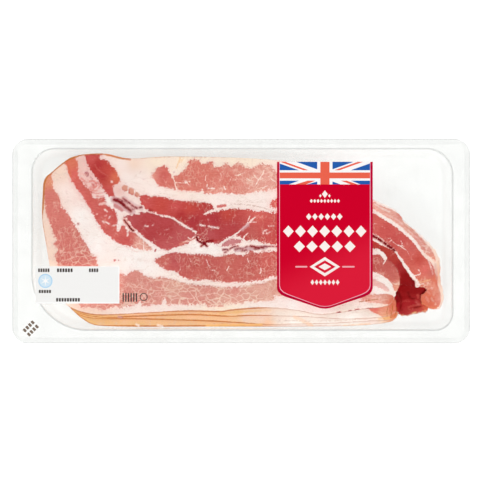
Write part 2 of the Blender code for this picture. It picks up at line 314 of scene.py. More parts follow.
            (103, -11, "ember", 0), (107, -17, "coral", 0), (110.5, -19, "terra", 0),
            (108, -25, "ham", 0.4), (104, -26, "amber", 0.3), (108, -31, "amber_deep", 0),
            (110.5, -33, "amber_deep", 0), (114.8, -34, "flush", 0), (111, -36, "amber_deep", 0.05),
            (112.5, -22, "amber", 0.1), (113, -29, "ham", 0.1), (106, -36, "amber_deep", 0),
        ],
    },
    "hollow_end": {
        "edge": [
            (62, 4), (76.9, -0.2), (80, -1.6), (84.6, -3.9), (88.9, -6.2), (91, -9.4), (93, -12.7),
            (95.4, -16.2), (97.4, -19.5), (99.2, -21.5), (100.8, -24.6), (100.6, -28.5), (91, -28.5),
            (91.3, -22.2), (90.1, -17.6), (87.8, -13.8), (84.8, -11.4), (84.2, -8.8), (81.8, -6),
            (79.2, -4.5), (76.5, -4.2), (62, -1),
        ],
        # Towards its low end the hollow turns maroon and oxblood: dark lean, and painted shade where it
        # lies under the folded ends.
        "spots": [
            (78, -1, "plum_red", 0.1), (83, -4.8, "plum_red", 0.1), (88, -9, "plum_red", 0.05),
            (93, -15, "maroon", 0), (95.5, -20, "oxblood", 0), (96, -25, "oxblood", 0),
        ],
    },
    "round_end": {
        "edge": [
            (62, -6), (76.5, -7.8), (79, -7.3), (81.4, -9), (83.1, -11), (85.6, -10.2), (88.8, -12.8),
            (91.4, -17.2), (92.6, -22.2), (92.2, -27.3), (90, -29.4), (88.4, -28), (87.2, -24.7),
            (83.9, -21.2), (80.7, -19.3), (76.9, -17.8), (62, -14),
        ],
        "spots": [
            (78, -13, "clay", 0.15), (86, -15, "clay", 0.1), (88, -21, "terra", 0.05),
            (90, -27, "tan_rose", 0.5),
        ],
    },
    "pink_end": {
        "edge": [
            (66, -19), (76, -21.5), (80, -23.5), (83.5, -25.5), (86, -29), (83.5, -28.6), (80, -27),
            (76, -25.5), (66, -23),
        ],
        "spots": [(80, -25, "veil", 0.2)],
    },
    "low_end": {
        "edge": [
            (70, -30.5), (78, -31), (84, -30.5), (88, -32), (89, -34), (86.4, -36.6), (82, -36.2),
            (76, -35.6), (70, -34),
        ],
        "spots": [(80, -33.5, "rose_pink", 0.3), (84, -32.6, "bead", 0.2), (87, -35, "amber_deep", 0)],
    },
}

# Fat seams that part the lean: a line and its width at each end.
SEAMS = [
    ([(-54.2, 17.3), (-48, 15.3), (-41.2, 13.7), (-37, 11.6), (-32.5, 9), (-28.5, 6.6),
      (-26, 5.4)], 0.4, 0.85),
    ([(-30.2, -9.6), (-29.4, -11), (-29, -12.4)], 0.4, 0.3),
    ([(-20.4, -10.4), (-19, -13.6), (-17.4, -16.6)], 0.5, 0.35), ([(-7, -14.6), (-8.6, -17.4)], 0.5, 0.4),
    ([(-28.8, -19.6), (-26.6, -21.4)], 0.5, 0.3), ([(-37, -18.6), (-35, -16)], 0.4, 0.3),
    ([(-18.4, -16.6), (-15, -17)], 0.4, 0.4), ([(3.6, -9.8), (4.4, -12.4)], 0.4, 0.3),
    ([(10.4, -13.4), (11.6, -16.6), (10.8, -19)], 0.4, 0.3),
    ([(-21.7, 15.5), (-18, 17), (-14, 18.1), (-10, 19.4), (-6, 20.4)], 0.5, 0.9),
    ([(8, 13.8), (6.5, 12.6), (3.8, 10), (0, 6.6), (-3, 4.2), (-7, 1.7), (-9.8, 0),
      (-13, -2.3)], 0.7, 1.0),
    ([(5, 14.5), (4, 12), (3.6, 10)], 0.5, 0.5), ([(9, 11), (6, 11), (3.6, 10)], 0.4, 0.5),
    ([(-8, 1.5), (-4, 1.7), (0, 1.4), (1, 1), (2, 3), (4, 4.6)], 0.5, 0.7),
    ([(1, 1), (3, -0.6), (7, -1.2)], 0.6, 0.5),
    ([(-62.7, 6), (-59, 3.3), (-55.5, 0.6), (-52, -2), (-48, -4.6)], 0.5, 2.2),
    ([(-56.6, 1.2), (-56.4, -4.8)], 0.4, 0.5),
    ([(-39.4, 36.6), (-38.4, 34), (-38.4, 32.6), (-37.2, 30)], 0.7, 0.5),
    ([(-38.4, 34.2), (-34, 33.7), (-31.6, 34), (-28.8, 34.8)], 0.5, 0.3),
    ([(-31.6, 34), (-30, 32.4)], 0.7, 0.3),
    ([(-20.2, 38.4), (-20.8, 35.6), (-19.6, 33.6), (-19.9, 30.8), (-17.6, 30.7), (-15.2, 30.4)], 0.5, 0.7),
    ([(2, 40), (-2, 38.2), (-6, 38.4), (-8.6, 37.2), (-11, 40.4)], 0.35, 0.3),
    ([(-2.6, 34), (-0.6, 32.4), (1, 32.2)], 0.3, 0.3),
    ([(13.4, 41.2), (12.2, 38.4), (10.2, 35.7), (8.4, 32.4)], 0.7, 0.6),
    ([(7.6, 38), (10.2, 35.7), (13.4, 37), (16, 37.4)], 0.5, 0.4),
    ([(16.3, 37.3), (18, 35.6), (20, 34.2)], 0.4, 0.4),
    ([(-13.6, 41.2), (-11.4, 38.2), (-12.9, 33.6)], 0.4, 0.4), ([(-5.6, 37.2), (-6.8, 34.4)], 0.4, 0.3),
    ([(-9.8, 31.6), (-9, 29.4)], 0.6, 0.3), ([(4.4, 30.8), (5.2, 30.4)], 0.6, 0.4),
    ([(-1.6, 33.4), (-3.4, 35.8)], 0.3, 0.3), ([(3.2, 36.4), (5.6, 34.8)], 0.4, 0.3),
    ([(15.4, 32.2), (13, 31), (11.5, 29.2)], 0.5, 0.5), ([(-31, 2.4), (-29, 1), (-27, 3)], 0.4, 0.5),
    ([(-33.5, -0.6), (-31, 0), (-29.5, -1)], 0.4, 0.5),
    ([(84, -9.8), (83.4, -11.6), (82.4, -13.4), (82.3, -15.6)], 0.8, 0.3),
    ([(100, -20), (103.9, -19), (102.8, -16.4)], 0.8, 0.5),
    ([(86.4, 2), (88, -0.4), (91, -2.4), (94.4, -3)], 0.3, 0.4),
    ([(92.4, 0.4), (93.4, -1.4), (93, -3.4), (96, -5.4), (97.6, -8.4)], 0.4, 0.3),
    ([(76.5, 10.4), (80, 9.6), (84, 7)], 0.4, 0.2), ([(85.4, 1.8), (87, 0.6), (86, -0.4)], 0.3, 0.3),
]

# Soft patches in the meat: a line of points, its width, its tone and how strong it is.
PATCHES = [
    ([(-73.8, 24), (-71.5, 23), (-69, 21.5), (-67, 19.5), (-63.3, 17.3)], 4.2, "lilac", 0.75),
    ([(-68, 24.8), (-62, 20.5), (-58, 19)], 3.0, "lilac", 0.5),
    ([(-69, 21.4), (-64.5, 18)], 2.4, "orchid", 0.9),
    ([(-67.9, 12.4), (-65.8, 9.6), (-63, 6.5)], 2.4, "veil", 0.8),
    ([(-71.5, 6), (-71.5, 9.5), (-69.5, 12)], 0.9, "chalk", 0.8),
    ([(-74.6, 8.8), (-70, 10)], 0.7, "chalk", 0.6), ([(-66, 3), (-65.4, 6.5)], 0.7, "chalk", 0.8),
    ([(-67.6, 31), (-66.6, 30.5)], 3.2, "bead", 1.0), ([(-64, 29.2), (-62.9, 28.4)], 3.6, "bead", 1.0),
    ([(-60.8, 27.2), (-60.2, 26.7)], 2.6, "bead", 1.0),
    ([(0.4, 6.6), (2.4, 8.2), (4, 9.6)], 1.9, "lilac", 0.7),
    ([(-101, 46), (-100, 42), (-98.8, 38)], 1.3, "amber_deep", 0.75),
    ([(-84.8, 44.6), (-83.4, 42), (-80.4, 39.6), (-77.2, 37.8)], 0.45, "blush", 0.4),
    ([(-78.5, 22.2), (-80, 21.8), (-82, 21.4)], 1.4, "veil", 0.9),
    ([(-90.6, 39.6), (-89.4, 40), (-88.4, 38.8), (-89.4, 37.4)], 0.7, "bruise", 0.7),
    ([(-87.4, 37.2), (-86.4, 36.2)], 0.8, "bruise", 0.5), ([(-92.6, 36.6), (-91, 35)], 1.0, "coral", 0.6),
    ([(-86.4, 33.4), (-85.4, 32.4)], 1.0, "rose", 0.8),
    ([(-87.8, 34.6), (-86.2, 35), (-84.6, 34.2), (-83.8, 32.8), (-84.6, 31.4),
      (-86.2, 31.2)], 1.0, "coral", 0.8),
    ([(-83, 34), (-82, 32.4), (-82.4, 30.8)], 0.9, "coral", 0.75),
    ([(-87.6, 30.6), (-86, 29.4), (-83.6, 29.4)], 0.9, "coral", 0.7),
    ([(-85.4, 28), (-83, 27.6), (-80.6, 28)], 0.8, "coral", 0.6),
    ([(-83.6, 26), (-81.6, 25.8), (-79.8, 26.2)], 0.8, "coral", 0.6),
    ([(-79.2, 18.4), (-77.6, 17.2)], 0.7, "chalk", 0.8), ([(-78.2, 11), (-76.4, 9.8)], 0.8, "chalk", 0.8),
    ([(-80.2, 11.4), (-79.6, 10.8)], 0.8, "chalk", 0.7),
    ([(-76.6, 13.4), (-75.8, 14.4)], 0.6, "chalk", 0.6), ([(-84, 15.4), (-83.4, 15.8)], 0.6, "veil", 0.8),
    ([(-78.8, 14.6), (-78, 15)], 0.6, "veil", 0.8),
    ([(-3, -5), (4, -4.3), (14, -3.4)], 2.8, "orchid", 0.6),
    ([(-10.5, -4.8), (-8, -4.8)], 1.4, "orchid", 0.6), ([(-56, 8.8), (-54, 8.6)], 0.7, "cream", 0.8),
    ([(-51.3, 9.2)], 0.6, "cream", 0.6), ([(-43, 6.8)], 1.0, "shell", 0.8),
    ([(-23.8, 9.3), (-21, 8.9)], 0.8, "cream", 0.9),
    ([(-18.8, 8.6), (-16, 8), (-13.2, 7.7)], 0.8, "cream", 0.85), ([(-19, 12.5)], 0.8, "shell", 0.8),
    ([(-32, 34.3)], 1.6, "cream", 0.7), ([(-75, 34.5)], 1.4, "cream", 0.6),
    ([(12.6, 4.2), (13.2, 5.8), (15, 6.4)], 0.6, "cream", 0.9),
    ([(16.6, 5), (14.6, 4.4)], 0.6, "cream", 0.8), ([(16, 8.6), (19, 8.9)], 0.6, "cream", 0.7),
    ([(-35.3, 48.2), (-36.4, 45), (-37.5, 42.4)], 0.8, "honey", 0.7),
    ([(-33.6, 48.2), (-35, 45.6)], 0.7, "honey", 0.6),
    ([(-77, 50.3), (-71, 49.8), (-65, 48)], 2.6, "orange", 0.75),
    ([(-20, -0.2), (-16, 0.4), (-11.5, 0.6)], 0.9, "garnet", 0.8),
    ([(-72.8, 20.8), (-69, 18.4)], 2.6, "shell", 0.95), ([(-38.9, 39.9)], 1.0, "lilac", 0.8),
    ([(-35.6, -1.8), (-32, -0.4), (-28.6, 1.2)], 1.2, "tan_rose", 0.4),
    ([(-13.4, 20.1), (-11, 20.4), (-9.4, 20.7)], 1.7, "rose", 0.95), ([(-19.3, 45.4)], 1.0, "lilac", 0.8),
    ([(-66, -3.5), (-60, -6.5)], 0.5, "veil", 0.7),
    ([(77, 21.6), (81, 19.4), (86, 17)], 0.7, "chalk", 0.6),
    ([(84, 15.6), (90, 12.6), (94, 9.4)], 0.6, "veil", 0.7),
    ([(91.4, 15.4), (93.4, 13)], 1.5, "blush", 0.8),
    ([(97, 6.4), (103, 1.2), (108, -4.6)], 0.6, "veil", 0.6),
    ([(94, 9.8), (100, 4.6), (106, -1.6)], 0.7, "blush", 0.5),
    ([(112.8, -13.6), (113.4, -18), (113.6, -22)], 0.9, "hide", 0.5),
    ([(114.4, -12), (115, -18), (115.6, -25)], 0.8, "straw", 0.5),
    ([(110.6, -14.6), (111.4, -19)], 0.4, "cream", 0.6),
    ([(102.6, -22.8), (104.4, -23.6), (107, -23.2), (109.8, -22.4)], 0.6, "straw", 0.7),
    ([(104, -25), (106, -24.6)], 0.5, "cream", 0.6),
    ([(101.8, -22.8), (103, -24.6), (102.9, -26.6), (101.9, -28.2)], 0.9, "chalk", 0.9),
    ([(109, -26), (112.6, -25.6)], 1.0, "ham", 0.6),
    ([(106, -26.8), (107.2, -28)], 0.9, "petal_light", 0.6), ([(110.6, -27.4)], 1.3, "veil", 0.5),
    ([(108.4, -29.6), (109.6, -30.4)], 0.9, "flush", 0.6),
    ([(112.4, -29.6), (111.8, -31.6)], 0.8, "petal_light", 0.6),
    ([(107.4, -32.4), (108.8, -35)], 1.2, "flush", 0.6),
    ([(110.6, -33), (111.6, -35)], 1.1, "petal_light", 0.6),
    ([(105.6, -30.4), (106, -32.6)], 0.7, "sienna", 0.6),
    ([(114.6, -28), (115.6, -31), (115, -34)], 0.7, "petal_light", 0.6),
    ([(113, -36.6)], 1.0, "peach", 0.6),
    ([(104.6, -36), (109, -38.6), (113.6, -38.4)], 0.7, "orange", 0.7),
    ([(104.4, -27), (103.4, -28.8)], 0.7, "shell", 0.7),
    ([(107.4, -9.4), (109.4, -12.4), (110.4, -16.4)], 0.5, "chalk", 0.8),
    ([(108.6, -8.6), (111.4, -12.6), (112, -16)], 0.4, "chalk", 0.6),
]

# Dark marks and vessels, with painted shade in clefts and under some edges, in the same way.
MARKS = [
    ([(-73.5, 24), (-71.2, 23.2), (-69, 21.9), (-67.8, 20.8)], 1.5, "vessel", 0.95),
    ([(-67.5, 20.2), (-65.6, 18.9), (-64, 17.5)], 1.4, "vessel", 0.8),
    ([(-68.4, 24.8), (-66.2, 23.2), (-64.4, 21.8)], 0.6, "plum_dark", 0.85),
    ([(-63.4, 20.9), (-62.6, 20.2)], 0.9, "plum_dark", 0.8),
    ([(-61.4, 19.6), (-60.4, 19.2)], 0.9, "plum_dark", 0.85),
    ([(-58.8, 19.5), (-57.8, 19.7)], 0.8, "plum_dark", 0.8),
    ([(-73.3, 24.6), (-71, 24.3), (-68.5, 23)], 0.6, "plum_dark", 0.8),
    ([(-67.6, 23.3), (-65.4, 21.6)], 0.5, "plum_dark", 0.5),
    ([(-63.6, 19.2), (-62.2, 18.4)], 0.5, "plum_dark", 0.5),
    # The terra lines along the lower borders of the three beads are painted shade under them; the chalk
    # lines between are fat.
    ([(-68.8, 30.4), (-67.9, 29.4), (-66.6, 29.2)], 0.7, "terra", 0.9),
    ([(-65.6, 31.2), (-65.2, 29.9), (-65.9, 28.6)], 0.6, "chalk", 0.9),
    ([(-65, 29.9), (-65.1, 28.3), (-64, 27.3), (-62.8, 27)], 0.8, "terra", 0.95),
    ([(-61.8, 29.4), (-61.6, 27.9), (-62.3, 26.7)], 0.5, "chalk", 0.9),
    ([(-61.3, 27.6), (-61.3, 26.6), (-60.6, 25.9)], 0.6, "terra", 0.9),
    ([(-53, 18.1)], 1.3, "plum_dark", 0.75), ([(-51.6, 17.8)], 0.8, "plum_dark", 0.6),
    # Painted shade: the dark lines of a cleft, sunk a little in the relief.
    ([(-67.7, 12.3), (-66.6, 10.6), (-65.1, 9)], 0.6, "cleft_shade", 1.0),
    ([(-65.1, 9), (-64.2, 7.5), (-62.4, 6.1)], 0.8, "cleft_shade", 1.0),
    ([(-89.8, 39.2), (-89, 38.6)], 0.4, "plum_dark", 0.6),
    ([(-26, 2.4), (-25, 0.4), (-23.2, -0.6), (-21.4, -1.4)], 1.0, "vessel", 1.0),
    ([(-21.4, -1.4)], 1.9, "vessel", 1.0),
    ([(-23.2, -2.9), (-21.4, -1.4), (-19.6, -0.2), (-16.6, 0.2)], 0.8, "vessel", 1.0),
    ([(-21.4, -1.4), (-19.8, -2.9)], 0.8, "vessel", 1.0),
    ([(-22.2, 0.6), (-21.4, -1.4)], 0.6, "vessel", 0.9),
    ([(-10.4, -5), (-8.6, -4.9), (-7.6, -5.4)], 0.6, "plum_dark", 0.8),
    ([(-9.6, -6.5), (-8.8, -6.3)], 0.6, "plum_dark", 0.8),
    ([(-6.6, -4.6), (-4.6, -3.4), (-1.8, -3)], 0.6, "plum_dark", 0.85),
    ([(-3.4, -5), (-1.4, -4.2), (1, -4.6)], 0.5, "plum_dark", 0.7),
    ([(0.4, -5.9), (2.8, -5.2)], 0.6, "plum_dark", 0.7),
    ([(2.4, -3.6), (3.6, -2.9)], 0.5, "plum_dark", 0.6),
    ([(5.6, -2.8), (7.4, -3.2), (10.2, -4)], 1.0, "vessel", 0.9),
    ([(7.8, -4.4), (9.4, -4.6)], 0.6, "vessel", 0.8), ([(11.4, -3.5), (12.8, -3.8)], 0.8, "vessel", 0.9),
    ([(12.8, -3.4), (15, -3), (20.6, -3.1)], 0.5, "plum_dark", 0.8),
    ([(-50, -5.8), (-49.6, -5)], 1.0, "garnet", 0.9), ([(-73.3, -11.3)], 1.4, "brick", 0.9),
    ([(-71.3, -11.1)], 1.0, "garnet", 0.9), ([(-94.5, 10)], 0.8, "plum_dark", 0.7),
    ([(-6, 21.4), (0, 21.4), (6, 20.8), (12, 19.4), (20.6, 17.2)], 0.45, "hide", 0.7),
    ([(-54, 24.6), (-46, 27.6), (-38, 25.6)], 0.3, "sinew", 0.6),
    ([(-2, 23.6), (6, 22.6), (14, 22.8)], 0.3, "sinew", 0.7),
    ([(76, 3.2), (78.6, 1.9)], 1.4, "vessel", 1.0), ([(79.6, 1.3), (81.4, 0.1)], 1.2, "vessel", 1.0),
    ([(82.8, -0.9), (83.9, -1.7)], 1.3, "vessel", 1.0), ([(85, -2.5), (86.9, -3.8)], 1.4, "vessel", 1.0),
    ([(87.9, -4.6), (88.8, -5.3)], 1.1, "vessel", 1.0),
    ([(85, -9.8), (88.4, -12.8), (91, -16.6), (92.3, -21)], 0.7, "garnet", 0.8),
    ([(99, -22.5), (100.4, -24), (99.6, -26)], 0.8, "vessel", 0.7),
    # Painted shadow: a thin rust line under the low end's lower border.
    ([(68.5, -35.2), (76, -34), (80, -33.8)], 0.6, "rust", 0.8),
    ([(55.9, -41.6), (57.2, -41.3)], 0.6, "vessel", 0.95),
    ([(62.6, -40.5), (63.6, -40.4)], 0.45, "vessel", 0.7),
    ([(66.4, -40), (68, -39.7)], 0.6, "vessel", 0.95), ([(71.4, -39.2), (76.6, -38.7)], 0.45, "wine", 0.9),
]

# Muscles of the slices below, where those reach out from under the top one; the deep reds of the frayed end
# are dark lean and painted shade under the top slice.
FRAYED_MUSCLE = {
    "edge": [
        (88, -24), (93, -25), (101, -25), (109, -25), (113, -32), (111, -44), (100, -46), (91.6, -48),
        (89.2, -40), (89, -33),
    ],
    "spots": [
        (95, -28.5, "oxblood", 0), (102, -29.5, "oxblood", 0), (92, -36, "wine", 0), (100, -36, "wine", 0),
        (105, -34, "wine", 0), (107.5, -39.6, "amber_deep", 0), (103, -41.5, "ember", 0),
        (94, -43.5, "maroon", 0),
    ],
}
STACK_MUSCLE = {
    "edge": [
        (72, -34), (89.8, -34), (90, -40), (91, -43), (89, -46.5), (84.5, -46.8), (81, -43.5), (77, -41.4),
        (73, -39.4),
    ],
    "spots": [
        (78, -39.5, "coral", 0.05), (82, -41.6, "tan_rose", 0.1), (84.5, -39.5, "tan_rose", 0),
        (87.5, -38, "amber_deep", 0), (88.6, -40.6, "sienna", 0), (88.5, -43.6, "orange", 0),
        (84.5, -44.5, "straw", 0.1),
    ],
}
LOWER_FAT_SPOTS = [
    (-98, -41, "honey"), (-85, -46, "gold"), (-60, -44, "apricot_light"), (-60, -48.8, "gold"),
    (-30, -45, "apricot_light"), (-30, -48.5, "gold"), (-12, -42.9, "straw"), (-10, -46, "apricot_light"),
    (2, -46, "peach"), (-10, -49, "gold"), (0, -48.8, "gold"), (3, -43, "peach"), (12, -44.4, "peach"),
    (15, -47.8, "apricot_light"), (-2, -42, "straw"), (22, -43, "linen"), (25, -46, "oat"),
    (50, -44, "linen"), (50, -47.5, "white_fat"), (30, -48.5, "white_fat"), (65, -47, "white_fat"),
    (75, -42, "linen"), (75, -46, "cream"), (89, -44, "honey"), (98, -35, "peach"),
]
LOWER_PATCHES = [
    ([(-71.4, -43.9), (-69.6, -44.2)], 1.2, "lilac", 0.6),
    ([(-61, -48.4), (-59.6, -49.3)], 1.2, "oat", 0.75), ([(-48.6, -48.8), (-46, -49.5)], 1.2, "oat", 0.75),
    ([(31.2, -44.2), (35.4, -46), (40.4, -48.8)], 2.2, "apricot_light", 0.45),
    ([(-12, -42), (-4, -41.3), (4, -40.8)], 1.3, "gold", 0.8),
    ([(4, -40.8), (11, -40.4)], 1.1, "gold", 0.6), ([(11, -40.4), (17, -40.1)], 0.9, "gold", 0.35),
    ([(35.6, -47), (41.4, -49.3)], 0.8, "honey", 0.6), ([(-20, -49.3), (12, -48.6)], 1.2, "honey", 0.8),
    ([(60, -49), (75, -48.2)], 0.8, "straw", 0.6),
    # The oxblood and blood patches of the frayed end, darkest along the top slice's edge, are dark lean and
    # painted shade under that slice.
    ([(93, -27.5), (99, -29), (106, -28.5)], 3.0, "oxblood", 0.9),
    ([(92, -33), (97, -32.4)], 2.2, "oxblood", 0.7),
    ([(90.2, -29.4), (91.2, -32), (91, -34.6)], 2.6, "blood", 0.8),
    ([(102.6, -31.4), (104.4, -33.6), (104.8, -36)], 1.6, "ember", 0.55),
    ([(101.4, -35.2), (103.4, -37)], 1.0, "clay", 0.6),
    ([(93, -35.5), (95.6, -34.6), (98, -35.2)], 0.6, "ember", 0.5),
    ([(97, -38.4), (100, -37.4), (104, -37)], 0.7, "ember", 0.6),
    ([(103, -33), (105, -31.6), (107, -32)], 1.0, "ember", 0.6),
    ([(91.6, -40.6), (94, -39.6)], 0.8, "blood", 0.5),
    ([(95, -42.4), (99, -40.8), (103, -39.6), (106, -39.8)], 1.2, "garnet", 0.6),
    ([(101, -33.6), (103, -35.4)], 0.5, "ember", 0.5), ([(94.6, -32), (96.4, -33)], 0.5, "ember", 0.4),
    # Painted highlights: the gold bits along the frayed end's lower edge; the orange one beside them is the
    # edge's own tone.
    ([(99.4, -41.9), (101.6, -41.2)], 0.7, "gold", 0.7),
    ([(105.6, -40.6), (107, -40.2)], 0.6, "gold", 0.6), ([(92, -43.1), (94.4, -43)], 0.7, "orange", 0.8),
    ([(80, -45.2), (86, -44.6)], 1.0, "honey", 0.5),
]
LOWER_MARKS = [
    ([(85.2, -38), (84.6, -41), (84.9, -44.6)], 0.5, "rust", 0.7),
    ([(88, -36.8), (87.6, -40), (87, -44.4)], 0.5, "rust", 0.8),
    ([(90.4, -38), (90.2, -41), (89.4, -43.6)], 0.6, "rust", 0.75),
    ([(86.6, -38), (86.2, -42)], 0.6, "amber_deep", 0.8),
    # The blood lines on the frayed end are dark lean and painted shade under the top slice's end.
    ([(91.5, -30), (93, -34), (92.4, -39)], 0.6, "blood", 0.8),
    ([(97, -30), (98.5, -33), (101, -33.4)], 0.5, "blood", 0.8),
    ([(100.5, -38.6), (104.5, -38)], 0.5, "blood", 0.7),
    # Painted shade: thin sinew-toned lines just under the near edge of the slice above, where it lies on
    # the next.
    ([(45, -46.4), (60, -46.2), (78, -44.8)], 0.35, "sinew", 0.9),
    ([(20, -46), (40, -46.6)], 0.35, "sinew", 0.8),
]

# Browning of the rim, and painted shade where a slice's edge lies over the next one: spots with its width
# and strength there.
RIND_AND_EDGE_SHADE = [
    (-115, 10, 0.8, 0.5), (-115, 26, 1.5, 1.0), (-114, 34, 1.5, 1.0), (-109, 40, 0.8, 0.8),
    (-104, 45, 1.0, 0.85), (-97, 49, 1.5, 0.9), (-91, 50.4, 0.7, 0.8), (-85, 50.7, 0.7, 0.7),
    (-71, 49, 1.6, 0.8), (-60, 48, 0.6, 0.4), (-36, 48, 0.7, 0.5), (0, 48, 0.5, 0.35),
    (-111, -14, 0.6, 0.35), (-103, -34, 0.6, 0.5), (-90, -42, 1.0, 1.0), (-60, -42, 0.7, 0.75),
    (-20, -41, 1.1, 1.0), (8, -39.5, 1.2, 1.0), (20, -39.5, 0.6, 0.9), (33, -40.6, 0.55, 0.9),
    (57, -42, 0.55, 0.95), (80, -39, 0.55, 0.9), (100, 8, 0.4, 0.0), (90, 17, 0.4, 0.0),
    (115, -20, 0.4, 0.1), (113, -38, 0.6, 0.45), (104, -34, 0.5, 0), (98, -26, 0.5, 0),
    (92, -26, 0.5, 0.2),
]
LOWER_RIND_AND_EDGE_SHADE = [
    (-98, -41, 0.5, 0.7), (-92, -44, 0.7, 0.9), (-60, -45, 1.1, 1.0), (-20, -46, 1.1, 1.0),
    (6, -47, 0.9, 0.9), (20, -45, 0.55, 0.9), (60, -46, 0.55, 0.95), (80, -45.5, 0.55, 0.85),
    (88, -45, 0.7, 0.6), (92, -38, 0.7, 0.6), (100, -41, 0.9, 0.8), (108, -32, 0.5, 0.3),
    (-112, 0, 0.6, 0.5),
]

# Tones of the fat: spots on the top slice.
FAT_SPOTS = [
    (-112.5, 5, "peach"), (-110, -8, "peach"), (-113, 22, "peach"), (-105, 40, "peach"),
    (-101, 28, "blossom"), (-93, 14, "milk"), (-84, -2, "milk"), (-92, 44, "veil", 0),
    (-88.5, 36, "veil", 0.45), (-84.5, 30, "veil", 0.5), (-80, 21, "milk"), (-76, 24, "milk"),
    (-71, 29, "veil"), (-66, 36, "cream"), (-70, 45, "blossom"), (-62, 45, "peach"), (-60, 36, "cream"),
    (-50, 46, "ivory"), (-30, 48.5, "ivory"), (0, 47, "ivory"), (-50, 29, "cream"), (-10, 25, "cream"),
    (12, 24, "cream"), (-66, -8, "milk"), (-60, -12, "milk"), (-20, -4, "milk"), (0, -5, "cream"),
    (-74, -12, "cream"), (-10, -25, "blossom"), (-50, -39.5, "blossom"), (-10, -39, "ivory"),
    (15, -36.5, "cream"), (-90, -40, "peach"), (80, 22, "blossom"), (100, 4, "blossom"),
    (94, 11, "blossom"), (112, -8, "peach"), (84, 13.5, "chalk"), (99, 1, "chalk"), (88, -3, "chalk"),
    (97, -17, "chalk"), (79, -6, "chalk"), (82, -22.5, "chalk"), (80, -29, "milk"), (84, -37, "peach"),
    (115, -30, "peach"), (115, -20, "pale_rose"), (50, 0, "milk"), (25, -41, "blossom"),
    (36, -41.5, "blossom"), (30, -37, "milk"), (44, -40, "cream"), (70, -37, "blossom"),
    (60, -40.6, "linen"),
]


# === drawing tools: outlines, reaches and blends =============================================
ROUND_STEPS = 4
FAR_OUT = 8.0             # how far out from a muscle its depth is still measured
NO_LINE = -2.0            # depth where no seam, patch or mark is near
SPOT_REACH = 2.0          # how evenly a spot's tone fills the places round it
SPOT_FADE = -3.0          # power by which a spot's hold fades with distance


def rounded(points, closed=True):
    """A smooth line through points, with each span cut into ROUND_STEPS."""
    knots = np.array(points, float)
    count = len(knots)
    if count < 3:
        return knots
    spans = count if closed else count - 1
    drawn = []
    for i in range(spans):
        if closed:
            a, b, c, d = (knots[(i + k) % count] for k in (-1, 0, 1, 2))
        else:
            a, b, c, d = knots[max(i - 1, 0)], knots[i], knots[i + 1], knots[min(i + 2, count - 1)]
        for step in range(ROUND_STEPS):
            t = step / ROUND_STEPS
            drawn.append(0.5 * (2 * b + (c - a) * t + (2 * a - 5 * b + 4 * c - d) * t ** 2
                                + (3 * b - a - 3 * c + d) * t ** 3))
    if not closed:
        drawn.append(knots[-1])
    return np.array(drawn)


def reach(places, line, closed=False):
    """Distance from each place to a line, and how far along the line the nearest point is, 0 to 1."""
    starts = line
    ends = np.roll(line, -1, axis=0)
    if not closed:
        starts, ends = line[:-1], line[1:]
    if len(line) == 1:
        return np.hypot(*(places - line[0]).T), np.zeros(len(places))
    best = np.full(len(places), 1e9)
    along = np.zeros(len(places))
    for i, (start, end) in enumerate(zip(starts, ends)):
        span = end - start
        t = np.clip(((places - start) @ span) / max(span @ span, 1e-12), 0, 1)
        away = np.hypot(*(places - start - t[:, None] * span).T)
        nearer = away < best
        best[nearer] = away[nearer]
        along[nearer] = (i + t[nearer]) / len(starts)
    return best, along


def within(places, ring):
    """Whether each place lies inside a closed line."""
    x, y = places.T
    inside = np.zeros(len(places), bool)
    for (ax, ay), (bx, by) in zip(ring, np.roll(ring, -1, axis=0)):
        if ay != by:
            crosses = (ay > y) != (by > y)
            inside ^= crosses & (x < (bx - ax) * (y - ay) / (by - ay) + ax)
    return inside


def depth_inside(places, ring):
    """Distance in from a closed line: above nought inside it, and never below -FAR_OUT."""
    near = np.all((places > ring.min(0) - FAR_OUT) & (places < ring.max(0) + FAR_OUT), axis=1)
    depth = np.full(len(places), -FAR_OUT)
    if near.any():
        away = reach(places[near], ring, closed=True)[0]
        depth[near] = np.maximum(np.where(within(places[near], ring), away, -away), -FAR_OUT)
    return depth


def ease(value, low, high):
    """0 at low and 1 at high, with a soft start and end."""
    t = np.clip((value - low) / (high - low), 0, 1)
    return t * t * (3 - 2 * t)


def hold(places, x, y):
    """How strongly a spot counts at each place."""
    return (np.hypot(places[:, 0] - x, places[:, 1] - y) + SPOT_REACH) ** SPOT_FADE


def blend_spots(places, spots):
    """Tone and marbling at each place, from the spots nearest to it."""
    total = np.zeros(len(places))
    tone = np.zeros((len(places), 3))
    marbling = np.zeros(len(places))
    for spot in spots:
        weight = hold(places, spot[0], spot[1])
        total += weight
        tone += weight[:, None] * TONES[spot[2]]
        if len(spot) > 3:
            marbling += weight * spot[3]
    return tone / total[:, None], marbling / total


# === meat ====================================================================================
def drape(x, y, level):
    """Rise and fall of a slice in millimetres, the same wave that the solid slices follow."""
    long, wide, turn = LONG_WAVE
    wave = np.sin(2 * pi * (x / long + 0.1)) * np.cos(2 * pi * (y / wide + x / turn))
    wave += 0.5 * np.sin(2 * pi * (x / CROSS_WAVE[0] - y / CROSS_WAVE[1]))
    out = np.maximum(0, x - DROOP_X)
    return level * DRAPE_RISE * wave - DROOP * out * out


def muscles_of(number):
    """The muscles of a slice; the lower slices have those of the fold end and their own loose ends."""
    if number == 1:
        return list(MUSCLES.values())
    through = ("flank", "belly", "eye", "back", "fillet", "leaf", "inner", "skirt")
    own = [FRAYED_MUSCLE, STACK_MUSCLE] if number == 2 else [STACK_MUSCLE]
    return [MUSCLES[name] for name in through] + own


